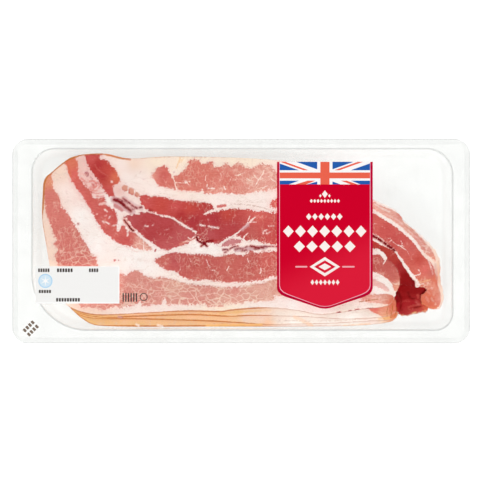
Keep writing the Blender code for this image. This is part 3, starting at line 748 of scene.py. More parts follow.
def browning_and_edge_shade(places, rim, spots):
    """How browned each place is, and how much painted shade it takes where a slice's edge lies over the
    next, by its depth from the rim.
    """
    depth = reach(places, rim, closed=True)[0]
    total, width, strength = 0, 0, 0
    for x, y, spot_width, spot_strength in spots:
        weight = hold(places, x, y)
        total = total + weight
        width = width + weight * spot_width
        strength = strength + weight * spot_strength
    width = width / total
    return strength / total * ease(depth / width, 1.25, 0.3), depth


def lay_lines(places, lines):
    """Tone and strength of the line that reaches deepest at each place, and how deep that is."""
    depth = np.full(len(places), NO_LINE)
    tone = np.zeros((len(places), 4))
    for line, width, name, strength in lines:
        inside = width / 2 - reach(places, rounded(line, closed=False))[0]
        nearer = inside > depth
        depth[nearer] = inside[nearer]
        tone[nearer] = (*TONES[name], strength)
    return tone, depth


# What each kind of slice is drawn with: seams, spots in the fat, browning with painted edge shade, patches
# and marks.
TOP_DRAWING = (SEAMS, FAT_SPOTS, RIND_AND_EDGE_SHADE, PATCHES, MARKS)
LOWER_DRAWING = ([], LOWER_FAT_SPOTS, LOWER_RIND_AND_EDGE_SHADE, LOWER_PATCHES, LOWER_MARKS)
# Round the clefts, whose dark lines are painted shade, the bleed is painted shade as well.
DARK_RED = 0.25           # a mark with less red than this is dark: it sinks in and bleeds
MARK_SINK = 0.15
HOLLOW_SINK = 0.5         # depth of the dark hollow between two loose ends
LEAN_RISE = 0.25          # how far the lean stands above the fat
RIM_FALL = (0.06, 0.24)   # how far a rim rounds off everywhere, and more at the near edges
NEAR_RIMS = (-36, -40)    # where that near rounding sets in
HARD_EDGE_X = (74, 80)    # past here the lean of the loose ends has a crisper edge
HARD_EDGE = 1.5


def meat_map(places, number, rim):
    """What the meat is at each place: lean depth, tones, marbling, marks and browning."""
    seams, fat_spots, rind_and_shade, patches, marks = TOP_DRAWING if number == 1 else LOWER_DRAWING
    lean = np.full(len(places), -FAR_OUT)
    flesh = np.tile(TONES["clay"], (len(places), 1))
    marble = np.zeros(len(places))
    for muscle in muscles_of(number):
        depth = depth_inside(places, rounded(muscle["edge"]))
        mine = depth > lean
        flesh[mine], marble[mine] = blend_spots(places[mine], muscle["spots"])
        lean = np.maximum(lean, depth)
    seam = np.full(len(places), NO_LINE)
    for line, first, last in seams:
        away, along = reach(places, rounded(line, closed=False))
        seam = np.maximum(seam, (first + (last - first) * along) / 2 - away)
    fat, mottle = blend_spots(places, fat_spots)
    toast_and_shade, rim_depth = browning_and_edge_shade(places, rim, rind_and_shade)
    patch, patch_depth = lay_lines(places, patches)
    mark, mark_depth = lay_lines(places, marks)
    dark = np.where(mark[:, 0] < DARK_RED, mark[:, 3], 0)
    sunk = MARK_SINK * dark * ease(mark_depth, -0.6, 0.4)
    bleed = dark * ease(mark_depth, -0.85, -0.1)
    if number == 1:
        hollow = depth_inside(places, rounded(MUSCLES["hollow_end"]["edge"]))
        sunk = np.maximum(sunk, HOLLOW_SINK * ease(hollow, -0.4, 1.2))
    falling = RIM_FALL[0] + RIM_FALL[1] * ease(places[:, 1], *NEAR_RIMS)
    relief = LEAN_RISE * ease(lean, -0.8, 1.5) - falling * ease(rim_depth, 0.9, 0.0) - sunk
    lean = lean * (1 + HARD_EDGE * ease(places[:, 0], *HARD_EDGE_X))
    fields = {
        "lean": lean, "bleed": bleed, "flesh": flesh, "fat": np.column_stack([fat, mottle]),
        "marble": marble, "toast_and_shade": toast_and_shade, "seam": seam, "patch": patch, "patch_depth": patch_depth,
        "mark": mark, "mark_depth": mark_depth,
    }
    return fields, relief


# === working on meshes =======================================================================
def choose(item):
    """Makes one object the only chosen one."""
    bpy.ops.object.select_all(action='DESELECT')
    item.select_set(True)
    bpy.context.view_layer.objects.active = item
    return item


def pick(item, kind, chosen):
    """Selects vertices or faces of a mesh from a true-or-false row, then opens it for editing."""
    mesh = item.data
    for part in (mesh.vertices, mesh.edges, mesh.polygons):
        part.foreach_set("select", np.zeros(len(part), bool))
    part = mesh.polygons if kind == 'FACE' else mesh.vertices
    part.foreach_set("select", chosen)
    choose(item)
    bpy.ops.object.mode_set(mode='EDIT')
    bpy.ops.mesh.select_mode(type=kind)


def pick_all(item):
    """Opens a mesh for editing with all of it selected."""
    choose(item)
    bpy.ops.object.mode_set(mode='EDIT')
    bpy.ops.mesh.select_all(action='SELECT')


def close_edit():
    bpy.ops.object.mode_set(mode='OBJECT')


def lay_flat(name, middle, size, height=0.0, cells=None):
    """A plane, or a grid of cells, of a size in metres, with its place in its mesh."""
    bpy.ops.object.select_all(action='DESELECT')
    place = (middle[0], middle[1], height)
    if cells is None:
        bpy.ops.mesh.primitive_plane_add(size=1, location=place)
    else:
        bpy.ops.mesh.primitive_grid_add(x_subdivisions=int(cells[0]), y_subdivisions=int(cells[1]), size=1,
                                        location=place)
    sheet = bpy.context.object
    sheet.name = sheet.data.name = name
    sheet.scale = (size[0], size[1], 1)
    bpy.ops.object.transform_apply(location=True, rotation=False, scale=True)
    return sheet


def corners_of(item):
    """Places of a mesh's vertices, in metres."""
    flat = np.empty(len(item.data.vertices) * 3)
    item.data.vertices.foreach_get("co", flat)
    return flat.reshape(-1, 3)


def centres_of(item):
    """Middles of a mesh's faces, seen from above and in millimetres."""
    flat = np.empty(len(item.data.polygons) * 3)
    item.data.polygons.foreach_get("center", flat)
    return flat.reshape(-1, 3)[:, :2] / MM


def move_corners(item, places):
    item.data.vertices.foreach_set("co", places.ravel())
    item.data.update()


def apply(item, kind, name, **settings):
    """Adds a modifier and applies it."""
    step = item.modifiers.new(name, kind)
    for key, value in settings.items():
        setattr(step, key, value)
    choose(item)
    bpy.ops.object.modifier_apply(modifier=step.name)


def fill_field(item, name, values):
    """Writes one number or one colour per vertex."""
    kind = 'FLOAT' if values.ndim == 1 else 'FLOAT_COLOR'
    field = item.data.attributes.new(name, kind, 'POINT')
    if kind == 'FLOAT':
        field.data.foreach_set("value", values.astype(np.float32))
        return
    if values.shape[1] == 3:
        values = np.column_stack([values, np.ones(len(values))])
    field.data.foreach_set("color", values.astype(np.float32).ravel())


# === making a slice ==========================================================================
RIM_STEP = 0.7
LOOSE_X = (78, 92)        # the rims grow ragged between here and here
RAG = (0.08, 0.9)         # how far a rim wanders everywhere, and more at the loose ends
RAG_OUTWARDS = 0.4        # how far outwards a ragged rim starts
CLEAN_CUT_Y = -34         # nearer than this the loose ends are cut cleaner
FRAYED_X = (92, 108)      # except between here and here
CLEAN_CUT = 0.3


def frayed(rim):
    """A rim cut into short steps that wanders inwards a little, most at the loose ends."""
    spans = np.roll(rim, -1, axis=0) - rim
    lengths = np.hypot(*spans.T)
    run, drawn = 0.0, []
    for start, span, length in zip(rim, spans, lengths):
        count = max(1, int(round(length / RIM_STEP)))
        inward = np.array([span[1], -span[0]]) / max(length, 1e-9)
        for i in range(count):
            place = start + span * i / count
            run += length / count
            clean = place[1] < CLEAN_CUT_Y and not FRAYED_X[0] < place[0] < FRAYED_X[1]
            loose = ease(place[0], *LOOSE_X)
            ragged = RAG[0] + RAG[1] * (loose * (CLEAN_CUT if clean else 1.0))
            wave = 0.5 + 0.25 * sin(run * 1.1) + 0.25 * sin(run * 2.3 + 1.3)
            drawn.append(place + inward * (ragged * wave - RAG_OUTWARDS * loose))
    return np.array(drawn)


def cut_sheet(number, rim):
    """A fine sheet in the outline of one slice."""
    cell = CELLS.get(number, BURIED_CELL)
    low = rim.min(0) - cell
    size = rim.max(0) + cell - low
    sheet = lay_flat(f"bacon_slice_{number}", (low + size / 2) * MM, size * MM, cells=np.ceil(size / cell))
    pick(sheet, 'FACE', ~within(centres_of(sheet), rim))
    bpy.ops.mesh.delete(type='FACE')
    if number in CELLS and cell > CELLS[2]:
        close_edit()
        centres = centres_of(sheet)
        pick(sheet, 'FACE', (centres[:, 1] < STRIP_Y) | (centres[:, 0] > STRIP_X))
        bpy.ops.mesh.subdivide(number_cuts=1)
    bpy.ops.mesh.select_mode(type='VERT')
    bpy.ops.mesh.select_all(action='DESELECT')
    bpy.ops.mesh.select_non_manifold(extend=False, use_wire=False, use_boundary=True,
                                     use_multi_face=False, use_non_contiguous=False, use_verts=False)
    close_edit()
    edge = np.zeros(len(sheet.data.vertices), bool)
    sheet.data.vertices.foreach_get("select", edge)
    places = corners_of(sheet)
    along = reach(places[edge, :2] / MM, rim, closed=True)[1] * len(rim)
    start = along.astype(int) % len(rim)
    part = (along - along.astype(int))[:, None]
    places[edge, :2] = (rim[start] * (1 - part) + rim[(start + 1) % len(rim)] * part) * MM
    move_corners(sheet, places)
    pick_all(sheet)
    bpy.ops.mesh.remove_doubles(threshold=min(cell, CELLS[2]) * MM * MERGE_SHARE)
    close_edit()
    return sheet


def above_middle(sheet, top, level):
    """Which corners lie in the upper half of a slice's thickness."""
    x, y, z = corners_of(sheet).T / MM
    return z > top + drape(x, y, level) - SLICE / 2


def add_slice(number, finish):
    """One slice: its sheet laid in the stack, given its thickness, its relief and its map."""
    node = f"slice_{number}"
    rim = frayed(rounded(slice_outline(number)))
    sheet = cut_sheet(number, rim)
    places = corners_of(sheet)
    level = (SLICES - number) / (SLICES - 1)
    top = LOWEST_SLICE + (SLICES - number) * (SLICE + SLICE_GAP) + SLICE
    places[:, 2] = (top + drape(places[:, 0] / MM, places[:, 1] / MM, level)) * MM
    move_corners(sheet, places)
    apply(sheet, 'SOLIDIFY', "meat", thickness=SLICE * MM, offset=-1.0)
    upper = above_middle(sheet, top, level)
    if number in CELLS:
        pick(sheet, 'VERT', ~upper)
        bpy.ops.mesh.decimate(ratio=UNDERSIDE_SHARE)
        close_edit()
        upper = above_middle(sheet, top, level)
    places = corners_of(sheet)
    fields, relief = meat_map(places[:, :2] / MM, number, rim)
    places[upper, 2] += relief[upper] * MM
    move_corners(sheet, places)
    for name, values in fields.items():
        fill_field(sheet, name, values)
    choose(sheet)
    bpy.ops.object.shade_smooth_by_angle(angle=radians(EDGE_ANGLE))
    sheet.data.materials.clear()
    sheet.data.materials.append(finish)
    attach(sheet, "root")
    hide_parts(node)


# === materials ===============================================================================
class Finish:
    """A material, with short ways to add its nodes."""

    def __init__(self, name):
        self.material = bpy.data.materials.new(name)
        self.material.use_nodes = True
        self.tree = self.material.node_tree
        self.shader = self.tree.nodes["Principled BSDF"]
        self.out = self.tree.nodes["Material Output"]

    def feed(self, socket, value):
        if isinstance(value, bpy.types.NodeSocket):
            self.tree.links.new(value, socket)
        else:
            socket.default_value = value

    def node(self, kind, inputs=None, **settings):
        made = self.tree.nodes.new(kind)
        for key, value in settings.items():
            setattr(made, key, value)
        for key, value in (inputs or {}).items():
            self.feed(made.inputs[key], value)
        return made

    def places(self, scale=(1000, 1000, 1000), turn=0.0):
        """Object coordinates, counted in millimetres unless scaled otherwise."""
        source = self.node("ShaderNodeTexCoord").outputs["Object"]
        return self.node("ShaderNodeMapping", {"Vector": source, "Scale": scale,
                                               "Rotation": (0, 0, turn)}).outputs[0]

    def noise(self, where, scale, detail=3.0, roughness=0.55, distortion=0.0):
        return self.node("ShaderNodeTexNoise", {"Vector": where, "Scale": scale, "Detail": detail,
                                                "Roughness": roughness,
                                                "Distortion": distortion}).outputs[0]

    def vector(self, operation, first, second):
        """Vector maths; for a scaling, second is a number."""
        socket = 3 if operation == 'SCALE' else 1
        return self.node("ShaderNodeVectorMath", {0: first, socket: second}, operation=operation).outputs[0]

    def swirl(self, where, scale, far):
        """A wandering offset, far millimetres at most, to bend a pattern with."""
        turns = self.node("ShaderNodeTexNoise", {"Vector": where, "Scale": scale, "Detail": 2.0}).outputs[1]
        return self.vector('SCALE', self.vector('SUBTRACT', turns, (0.5, 0.5, 0.5)), 2 * far)

    def threads(self, where, scale, width):
        """Thin lines between cells, 1 on a line and 0 beyond its width."""
        cells = self.node("ShaderNodeTexVoronoi", {"Vector": where, "Scale": scale},
                          feature='DISTANCE_TO_EDGE')
        return self.span(cells.outputs["Distance"], width * scale, width * scale * 0.3)

    def maths(self, operation, first, second=0.0, third=0.0):
        return self.node("ShaderNodeMath", {0: first, 1: second, 2: third}, operation=operation).outputs[0]

    def times(self, first, second):
        return self.maths('MULTIPLY', first, second)

    def plus(self, first, second):
        return self.maths('ADD', first, second)

    def span(self, value, low, high, start=0.0, end=1.0):
        """Value eased from start to end while it runs from low to high."""
        return self.node("ShaderNodeMapRange", {"Value": value, "From Min": low, "From Max": high,
                                                "To Min": start, "To Max": end},
                         interpolation_type='SMOOTHSTEP').outputs[0]

    def spread(self, value, far):
        """Noise turned into an offset either way, far at most."""
        return self.span(value, 0.2, 0.8, -far, far)

    def mix(self, share, first, second, way='MIX'):
        return self.node("ShaderNodeMix", {0: share, 6: first, 7: second}, data_type='RGBA',
                         blend_type=way).outputs[2]

    def field(self, name, part="Fac"):
        """What fill_field wrote: a number, or the Color or Alpha of a tone."""
        return self.node("ShaderNodeAttribute", attribute_name=name).outputs[part]

    def feel(self, roughness, gloss, height, strength, rise):
        """Roughness, specular level and fine relief of the surface."""
        self.feed(self.shader.inputs["Roughness"], roughness)
        self.shader.inputs["Specular IOR Level"].default_value = gloss
        bump = self.node("ShaderNodeBump", {"Height": height, "Strength": strength, "Distance": rise})
        self.feed(self.shader.inputs["Normal"], bump.outputs[0])


def solid(name):
    return (*TONES[name], 1.0)


# Two nets of fat in the lean, a coarse one and a fine one: stretch, size of cell and thread width.
NETS = [((620, 1000, 200), 0.33, 0.27), ((1000, 560, 200), 0.5, 0.15)]
BLEED_TONE = (0.72, 0.33, 0.31, 1)


def lean_tone(made, where, flesh, marble, fibre):
    """The lean between its threads: fibres, clouds and grain that lighten or darken the flesh."""
    cloud = made.noise(where, 0.16, 3.0)
    grain = made.noise(where, 1.5, 2.0, 0.6)
    # What drives each shade, where it sets in and is full, its greatest share and its tone.
    shades = [
        (fibre, 0.48, 0.68, 0.5, (1.07, 1.2, 1.2, 1)), (fibre, 0.52, 0.3, 0.65, (0.9, 0.72, 0.72, 1)),
        (marble, 0.0, 0.3, 0.7, (0.98, 0.9, 0.9, 1)), (grain, 0.52, 0.7, 0.4, (1.04, 1.1, 1.1, 1)),
        (grain, 0.48, 0.3, 0.4, (0.95, 0.86, 0.86, 1)), (cloud, 0.35, 0.7, 0.5, (0.93, 0.84, 0.82, 1)),
    ]
    meat = flesh
    for driver, low, high, share, shade in shades:
        meat = made.mix(made.span(driver, low, high, 0.0, share), meat, shade, 'MULTIPLY')
    return meat


def fat_threads(made, where, marble, here, bend):
    """Share of fat thread at each place: the more marbled the lean, the more the coarse net shows."""
    shiver = made.swirl(where, 0.8, 0.28)
    coarse, fine = (made.threads(made.vector('ADD', made.vector('ADD', made.places(stretch), bend), shiver),
                                 size, width) for stretch, size, width in NETS)
    heavy = made.times(made.span(made.maths('MULTIPLY_ADD', marble, 0.8, here), 0.66, 0.8),
                       made.maths('MULTIPLY_ADD', marble, 0.8, 0.3))
    light = made.times(made.span(made.maths('MULTIPLY_ADD', marble, 0.9, here), 0.56, 0.72, 0.0, 0.36),
                       made.span(marble, 0.2, 0.55, 1.0, 0.25))
    return made.maths('MAXIMUM', made.times(coarse, heavy), made.times(fine, light))


def fat_tone(made, where, flesh, edge, here, bend):
    """The fat: clouded, pinker by the lean, with faint veins, blotches and specks in it."""
    tint = made.noise(where, 0.22, 4.0, 0.6)
    white = made.mix(made.span(tint, 0.4, 0.75, 0.0, 0.16), made.field("fat", "Color"), solid("veil"))
    near = made.times(made.span(edge, -2.2, 0.2), 0.22)
    white = made.mix(near, white, made.mix(0.35, solid("veil"), flesh))
    blotch = made.span(made.noise(where, 0.42, 3.0, 0.6), 0.47, 0.6)
    white = made.mix(made.times(blotch, made.field("fat", "Alpha")), white, flesh)
    long = made.vector('ADD', made.places((200, 800, 200)), bend)
    veins = made.times(made.threads(long, 0.3, 0.14), made.span(here, 0.42, 0.56, 0.0, 0.35))
    white = made.mix(veins, white, solid("sinew"))
    specks = made.span(made.noise(where, 1.3, 1.0), 0.69, 0.77, 0.0, 0.5)
    return made.mix(specks, white, solid("bruise"))


def meat_finish():
    """Cured belly: ragged lean with fat threads in it, milky fat, marks with painted shade in some, and a
    browned rim that also carries painted edge shade.
    """
    made = Finish("cured_meat")
    where = made.places()
    flesh = made.field("flesh", "Color")
    marble = made.field("marble")
    wander = made.spread(made.noise(where, 0.5, 3.0, 0.6), 0.5)
    nibble = made.spread(made.noise(where, 1.0, 2.0, 0.6), 0.7)
    edge = made.plus(made.field("lean"), made.plus(wander, nibble))
    fibre = made.noise(made.places((500, 1700, 1000), 0.35), 0.8, 3.0, 0.6, 0.3)
    here = made.maths('MULTIPLY_ADD', made.noise(where, 0.17, 2.0), 0.6,
                      made.times(made.noise(where, 0.5, 2.0), 0.4))
    bend = made.swirl(where, 0.16, 2.2)

    meat = lean_tone(made, where, flesh, marble, fibre)
    threads = fat_threads(made, where, marble, here, bend)
    meat = made.mix(threads, meat, made.mix(0.25, solid("ivory"), flesh))
    white = fat_tone(made, where, flesh, edge, here, bend)
    grit = made.spread(made.noise(where, 1.2, 3.0, 0.6), 0.4)
    rough = made.maths('MULTIPLY_ADD', grit, 0.5, made.spread(here, 0.2))
    seam = made.span(made.plus(made.field("seam"), rough), -0.12, 0.12)
    meat = made.mix(made.times(seam, 0.85), meat, made.field("fat", "Color"))
    colour = made.mix(made.span(edge, -0.1, 0.2), white, meat)

    # The rim's browning, also painted shade at the edges where slices overlap: rust to toast, then hide
    # further right.
    crisp = made.span(made.plus(made.field("toast_and_shade"), made.times(grit, 0.5)), 0.25, 0.6)
    brown_and_shade = made.mix(made.span(fibre, 0.35, 0.65), solid("rust"), solid("toast_and_shade"))
    along = made.node("ShaderNodeSeparateXYZ", {0: where}).outputs[0]
    brown_and_shade = made.mix(made.span(along, 8, 26), brown_and_shade, solid("hide"))
    colour = made.mix(made.times(crisp, 0.9), colour, brown_and_shade)
    # Patches, then marks; before the marks, the dark ones darken the colour round them: a stain round
    # vessels, painted shade round the clefts.
    for name, soft in (("patch", 0.45), ("mark", 0.18)):
        if name == "mark":
            colour = made.mix(made.field("bleed"), colour, BLEED_TONE, 'MULTIPLY')
        depth = made.plus(made.field(f"{name}_depth"), grit)
        share = made.times(made.span(depth, -soft, soft), made.field(name, "Alpha"))
        colour = made.mix(share, colour, made.field(name, "Color"))
    made.feed(made.shader.inputs["Base Color"], colour)

    shine = made.noise(where, 0.4, 4.0)
    height = made.plus(made.times(fibre, 0.5), shine)
    made.feel(made.span(shine, 0.3, 0.7, 0.34, 0.5), 0.07, height, 0.4, 0.0004)
    return made.material


def clear_finish(name, tint, roughness, painted_grey_tint=None, haze=0):
    """Clear plastic: light passes through it with a slight tint, under a fine gloss.

    With a painted grey tint, the sheet is greyer where its grey field says so: painted shade for its edge
    lines, its mouth and its well. Haze makes it milky.
    """
    made = Finish(name)
    made.tree.nodes.remove(made.shader)
    scuffs = made.noise(made.places(), 0.08, 3.0)
    colour = made.mix(made.span(scuffs, 0.35, 0.7), (*tint, 1), (*[c * 0.99 for c in tint], 1))
    # Painted shade: the sheet turns greyer where the field written for it marks the mouth line, the outer
    # edge and the well.
    if painted_grey_tint:
        colour = made.mix(made.field("painted_grey"), colour, (*painted_grey_tint, 1))
    passing = made.node("ShaderNodeBsdfTransparent", {"Color": colour}).outputs[0]
    gloss = made.node("ShaderNodeBsdfGlossy", {"Color": (1, 1, 1, 1), "Roughness": roughness}).outputs[0]
    if haze:
        cloudy = made.node("ShaderNodeBsdfDiffuse", {"Color": (0.86, 0.87, 0.86, 1)}).outputs[0]
        passing = made.node("ShaderNodeMixShader", {0: haze, 1: passing, 2: cloudy}).outputs[0]
    behind = made.node("ShaderNodeNewGeometry").outputs["Backfacing"]
    edge = made.maths('MULTIPLY', made.node("ShaderNodeFresnel", {"IOR": 1.45}).outputs[0],
                      made.maths('SUBTRACT', 1.0, behind))
    whole = made.node("ShaderNodeMixShader", {0: edge, 1: passing, 2: gloss}).outputs[0]
    made.feed(made.out.inputs["Surface"], whole)
    return made.material


def print_finish(name, colour, sheen_tone=None):
    """Ink on coated stock: a very fine grain, and a fade towards a second tone at its near right: a painted
    sheen, lighter, on the red field, and a little darker on the other inks.
    """
    made = Finish("ink_" + name)
    where = made.places()
    parts = made.node("ShaderNodeSeparateXYZ", {0: where}).outputs
    sheen_slant = made.maths('MULTIPLY_ADD', parts[1], -1.0, made.maths('MULTIPLY', parts[0], 0.5))
    second = sheen_tone if sheen_tone is not None else colour * 0.96
    base = made.mix(made.span(sheen_slant, 20, 50), (*colour, 1), (*second, 1))
    grain = made.noise(where, 3.2, 3.0)
    base = made.mix(made.span(grain, 0.3, 0.7, 0.0, 0.5), base, (0.95, 0.95, 0.95, 1), 'MULTIPLY')
    made.feed(made.shader.inputs["Base Color"], base)
    made.feel(made.span(grain, 0.3, 0.7, 0.25, 0.38), 0.04, grain, 0.15, 0.00005)
    return made.material


# === tray and film ===========================================================================
HALF_PACK = (132.5, 59.15)
PACK_RADIUS = 9.0
WELL_X = (-120.9, 122.3)
WELL_Y = (-51.4, 53.4)
WELL_RADII = (32.0, 10.0, 15.0, 13.0)   # near left, near right, far right, far left
CORNER_STEPS = 14
TRAY_TOP = 17.0
TRAY_SHEET = 0.6
FILM_LOW = 17.3
FILM = 0.3
MOUTH_LIP = 0.75          # how far the mouth's rounded lip reaches out over the flange
FLAT_FACE = 0.98          # faces more level than this stay flat-shaded
# Steps across the flange, from its outer edge to the mouth: reach in, height and painted greyness, a
# painted shade for the clear sheet's edge lines.
FLANGE_STEPS = [
    (0.0, 16.95, 0.7), (0.35, 17.1, 0.6), (0.6, 17.12, 0.14), (3.0, 17.12, 0.2), (3.6, 17.0, 0.0),
]
# Steps down the well, from the lip to the floor: reach in from the lip, height and painted greyness, the
# painted shade of the mouth line and the well.
WELL_STEPS = [
    (0.0, 17.0, 0.0), (0.4, 16.98, 0.8), (0.8, 16.8, 1.0), (1.05, 16.3, 0.9), (1.3, 15.6, 0.15),
    (1.43, 11.9, 0.12), (2.09, 7.8, 0.11), (2.75, 3.6, 0.12), (2.98, 2.45, 0.15), (3.63, 1.48, 0.17),
    (4.6, 0.83, 0.15), (5.75, 0.6, 0.05),
]


def rounded_plane(name, x_range, y_range, height, radii):
    """A flat sheet whose corners are rounded, from the near left one round to the far left."""
    middle = (sum(x_range) / 2 * MM, sum(y_range) / 2 * MM)
    size = ((x_range[1] - x_range[0]) * MM, (y_range[1] - y_range[0]) * MM)
    sheet = lay_flat(name, middle, size, height * MM)
    for corner, radius in zip(bar(*x_range, *y_range), radii):
        pick(sheet, 'VERT', np.hypot(*(corners_of(sheet)[:, :2] / MM - corner).T) < 0.01)
        bpy.ops.mesh.bevel(offset=radius * MM, segments=CORNER_STEPS, affect='VERTICES')
        close_edit()
    return sheet


def step_inwards(sheet, steps):
    """Insets the sheet's one face again and again, each time to the next reach and height."""
    pick(sheet, 'FACE', np.ones(len(sheet.data.polygons), bool))
    for (reach_in, height, _), (next_reach, next_height, _) in zip(steps, steps[1:]):
        bpy.ops.mesh.inset(thickness=(next_reach - reach_in) * MM, depth=0, use_even_offset=True)
        bpy.ops.transform.translate(value=(0, 0, (next_height - height) * MM))


def add_tray(finish):
    """The formed sheet: a flange with a raised rim, a rounded mouth, a drafted wall and a floor."""
    half_x, half_y = HALF_PACK
    flange = rounded_plane("flange", (-half_x, half_x), (-half_y, half_y), FLANGE_STEPS[0][1],
                           [PACK_RADIUS] * 4)
    step_inwards(flange, FLANGE_STEPS)
    bpy.ops.mesh.delete(type='ONLY_FACE')
    close_edit()
    tray = rounded_plane("tray_shell", (WELL_X[0] - MOUTH_LIP, WELL_X[1] + MOUTH_LIP),
                         (WELL_Y[0] - MOUTH_LIP, WELL_Y[1] + MOUTH_LIP), TRAY_TOP,
                         [radius + MOUTH_LIP for radius in WELL_RADII])
    step_inwards(tray, WELL_STEPS)
    close_edit()
    choose(tray)
    flange.select_set(True)
    bpy.ops.object.join()
    pick(tray, 'VERT', abs(corners_of(tray)[:, 2] / MM - TRAY_TOP) < 0.004)
    bpy.ops.mesh.bridge_edge_loops()
    bpy.ops.mesh.select_all(action='SELECT')
    bpy.ops.mesh.normals_make_consistent(inside=False)
    close_edit()
    # Painted greyness of each corner, painted shade for the clear sheet's edge lines, mouth and well:
    # across the flange, or down the well.
    x, y, z = corners_of(tray).T / MM
    past_edge = np.minimum(half_x - abs(x), half_y - abs(y))
    across = np.interp(past_edge, *np.array(FLANGE_STEPS)[:, [0, 2]].T)
    down = np.interp(-z, -np.array(WELL_STEPS)[:, 1], np.array(WELL_STEPS)[:, 2])
    fill_field(tray, "painted_grey", np.where(past_edge < FLANGE_STEPS[-1][0], across, down))
    if max(tray.data.polygons, key=lambda face: face.area).normal.z < 0:
        tray.data.flip_normals()
    apply(tray, 'SOLIDIFY', "sheet", thickness=TRAY_SHEET * MM, offset=-1.0, use_even_offset=True)
    for face in tray.data.polygons:
        face.use_smooth = abs(face.normal.z) < FLAT_FACE
    tray.data.materials.append(finish)
    tray.visible_shadow = False
    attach(tray, "root")
    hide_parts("tray")


# === plates of print =========================================================================
FILM_TOP = FILM_LOW + FILM
PLATE_LOW = 17.62         # the label and the panel lie just over the film
PLATE_TOP = 17.92
PRINT_LOW = 17.9          # layers of print start in their plate and end above it
MARK_TOP = 17.66          # marks printed on the film itself
PLATE_MERGE = 1e-6        # metres
DISC_STEPS = 40


def plate(name, outlines, low, high, finish):
    """One piece of flat print: outlines in millimetres, filled from low up to high."""
    curve = bpy.data.curves.new(name, 'CURVE')
    curve.dimensions = '2D'
    curve.fill_mode = 'BOTH'
    curve.extrude = (high - low) * MM / 2
    for outline in outlines:
        line = curve.splines.new('POLY')
        line.points.add(len(outline) - 1)
        for point, (x, y) in zip(line.points, outline):
            point.co = (x * MM, y * MM, 0, 1)
        line.use_cyclic_u = True
    made = bpy.data.objects.new(name, curve)
    bpy.context.scene.collection.objects.link(made)
    choose(made)
    bpy.ops.object.convert(target='MESH')
    made = bpy.context.object
    bpy.ops.transform.translate(value=(0, 0, (low + high) * MM / 2))
    bpy.ops.object.transform_apply(location=True, rotation=False, scale=False)
    pick_all(made)
    bpy.ops.mesh.remove_doubles(threshold=PLATE_MERGE)
    bpy.ops.mesh.normals_make_consistent(inside=False)
    close_edit()
    made.data.materials.clear()
    made.data.materials.append(finish)
    made.visible_shadow = False
    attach(made, "root")
    return made


def bar(x0, x1, y0, y1, radius=0.0, steps=4):
    """Points round a rectangle, from its near left corner, its corners rounded by radius."""
    square = [(x0, y0), (x1, y0), (x1, y1), (x0, y1)]
    if not radius:
        return square
    ring = []
    for (x, y), (start, to_x, to_y) in zip(square, [(180, 1, 1), (270, -1, 1), (0, -1, -1), (90, 1, -1)]):
        for step in range(steps + 1):
            turn = radians(start + 90 * step / steps)
            ring.append((x + (to_x + cos(turn)) * radius, y + (to_y + sin(turn)) * radius))
    return ring


def round_about(x, y, reaches, start=0.0):
    """Points round a middle, each at its own reach."""
    turns = [start + 2 * pi * i / len(reaches) for i in range(len(reaches))]
    return [(x + r * cos(turn), y + r * sin(turn)) for r, turn in zip(reaches, turns)]


def disc(x, y, radius):
    return round_about(x, y, [radius] * DISC_STEPS)


def diamond(x, y, half_width, half_height):
    return [(x - half_width, y), (x, y - half_height), (x + half_width, y), (x, y + half_height)]


def diamond_row(x0, x1, y0, y1, count):
    """A row of diamonds, where the pack has a printed word."""
    step = (x1 - x0) / count
    return [diamond(x0 + (i + 0.5) * step, (y0 + y1) / 2, step * 0.44, (y1 - y0) / 2) for i in range(count)]


def block_row(x0, x1, y0, y1, count, gap, radius=0.2):
    """A row of equal blocks, where the pack has a printed word."""
    width = (x1 - x0 - gap * (count - 1)) / count
    starts = [x0 + i * (width + gap) for i in range(count)]
    return [bar(start, start + width, y0, y1, radius) for start in starts]


def cross(x0, x1, y0, y1, upright, level):
    """An upright cross that fills a box, from the edges of its two bars."""
    (a, b), (c, d) = upright, level
    return [(x0, c), (a, c), (a, y0), (b, y0), (b, c), (x1, c), (x1, d), (b, d), (b, y1), (a, y1),
            (a, d), (x0, d)]


# The front label: its middle, half its width, and its far edge and its point.
LABEL_X = 48.4
LABEL_HALF = 27.7
LABEL_TOP = 45.9
LABEL_TIP = -39.1
LABEL_CORNER = [(0, -27.2), (0.6, -29.1), (2.2, -30.8), (4.8, -32.1)]   # in from its side, and where
LABEL_LINE_IN = 1.3       # how far in the fine line lies, and the field within it
LABEL_FIELD_IN = 1.66
POINT_LIFT = 0.9          # how far the point draws back for each millimetre in
FLAG_HALF = 26.1
FLAG_LOW = 32.8
# Rows of diamonds on the label: left, right, low, high and count.
WORD_ROWS = [
    (37.3, 58.8, 12.2, 16.1, 6), (23.8, 72.8, 2.3, 9.1, 7), (30, 66.6, -6.4, 0.2, 5),
    (40, 57, -25.4, -22.2, 7), (39.6, 57.2, 22.1, 24.4, 9),
]
COUNT_Y = -14.8
COUNT_DIAMONDS = [(8.8, 5.6), (6.2, 3.7), (3.6, 2.0)]
# Rows of blocks on the date panel: left, right, low, high, count and gap.
PANEL_ROWS = [
    (-117.4, -110.9, -17.9, -15.8, 5, 0.35), (-106.5, -97.5, -17.9, -15.8, 6, 0.4),
    (-88, -82.7, -17.9, -15.8, 4, 0.35), (-117, -110, -30, -28.2, 5, 0.35),
    (-107, -93.3, -34.9, -32.9, 9, 0.4),
]
PANEL_DISC = (-113.2, -23)
WEIGHT_RING = (-56.4, -32.3)
PEEL_CORNER = (-121.9, -50.4)
PEEL_TURN = 0.7071        # the peel mark runs across the corner


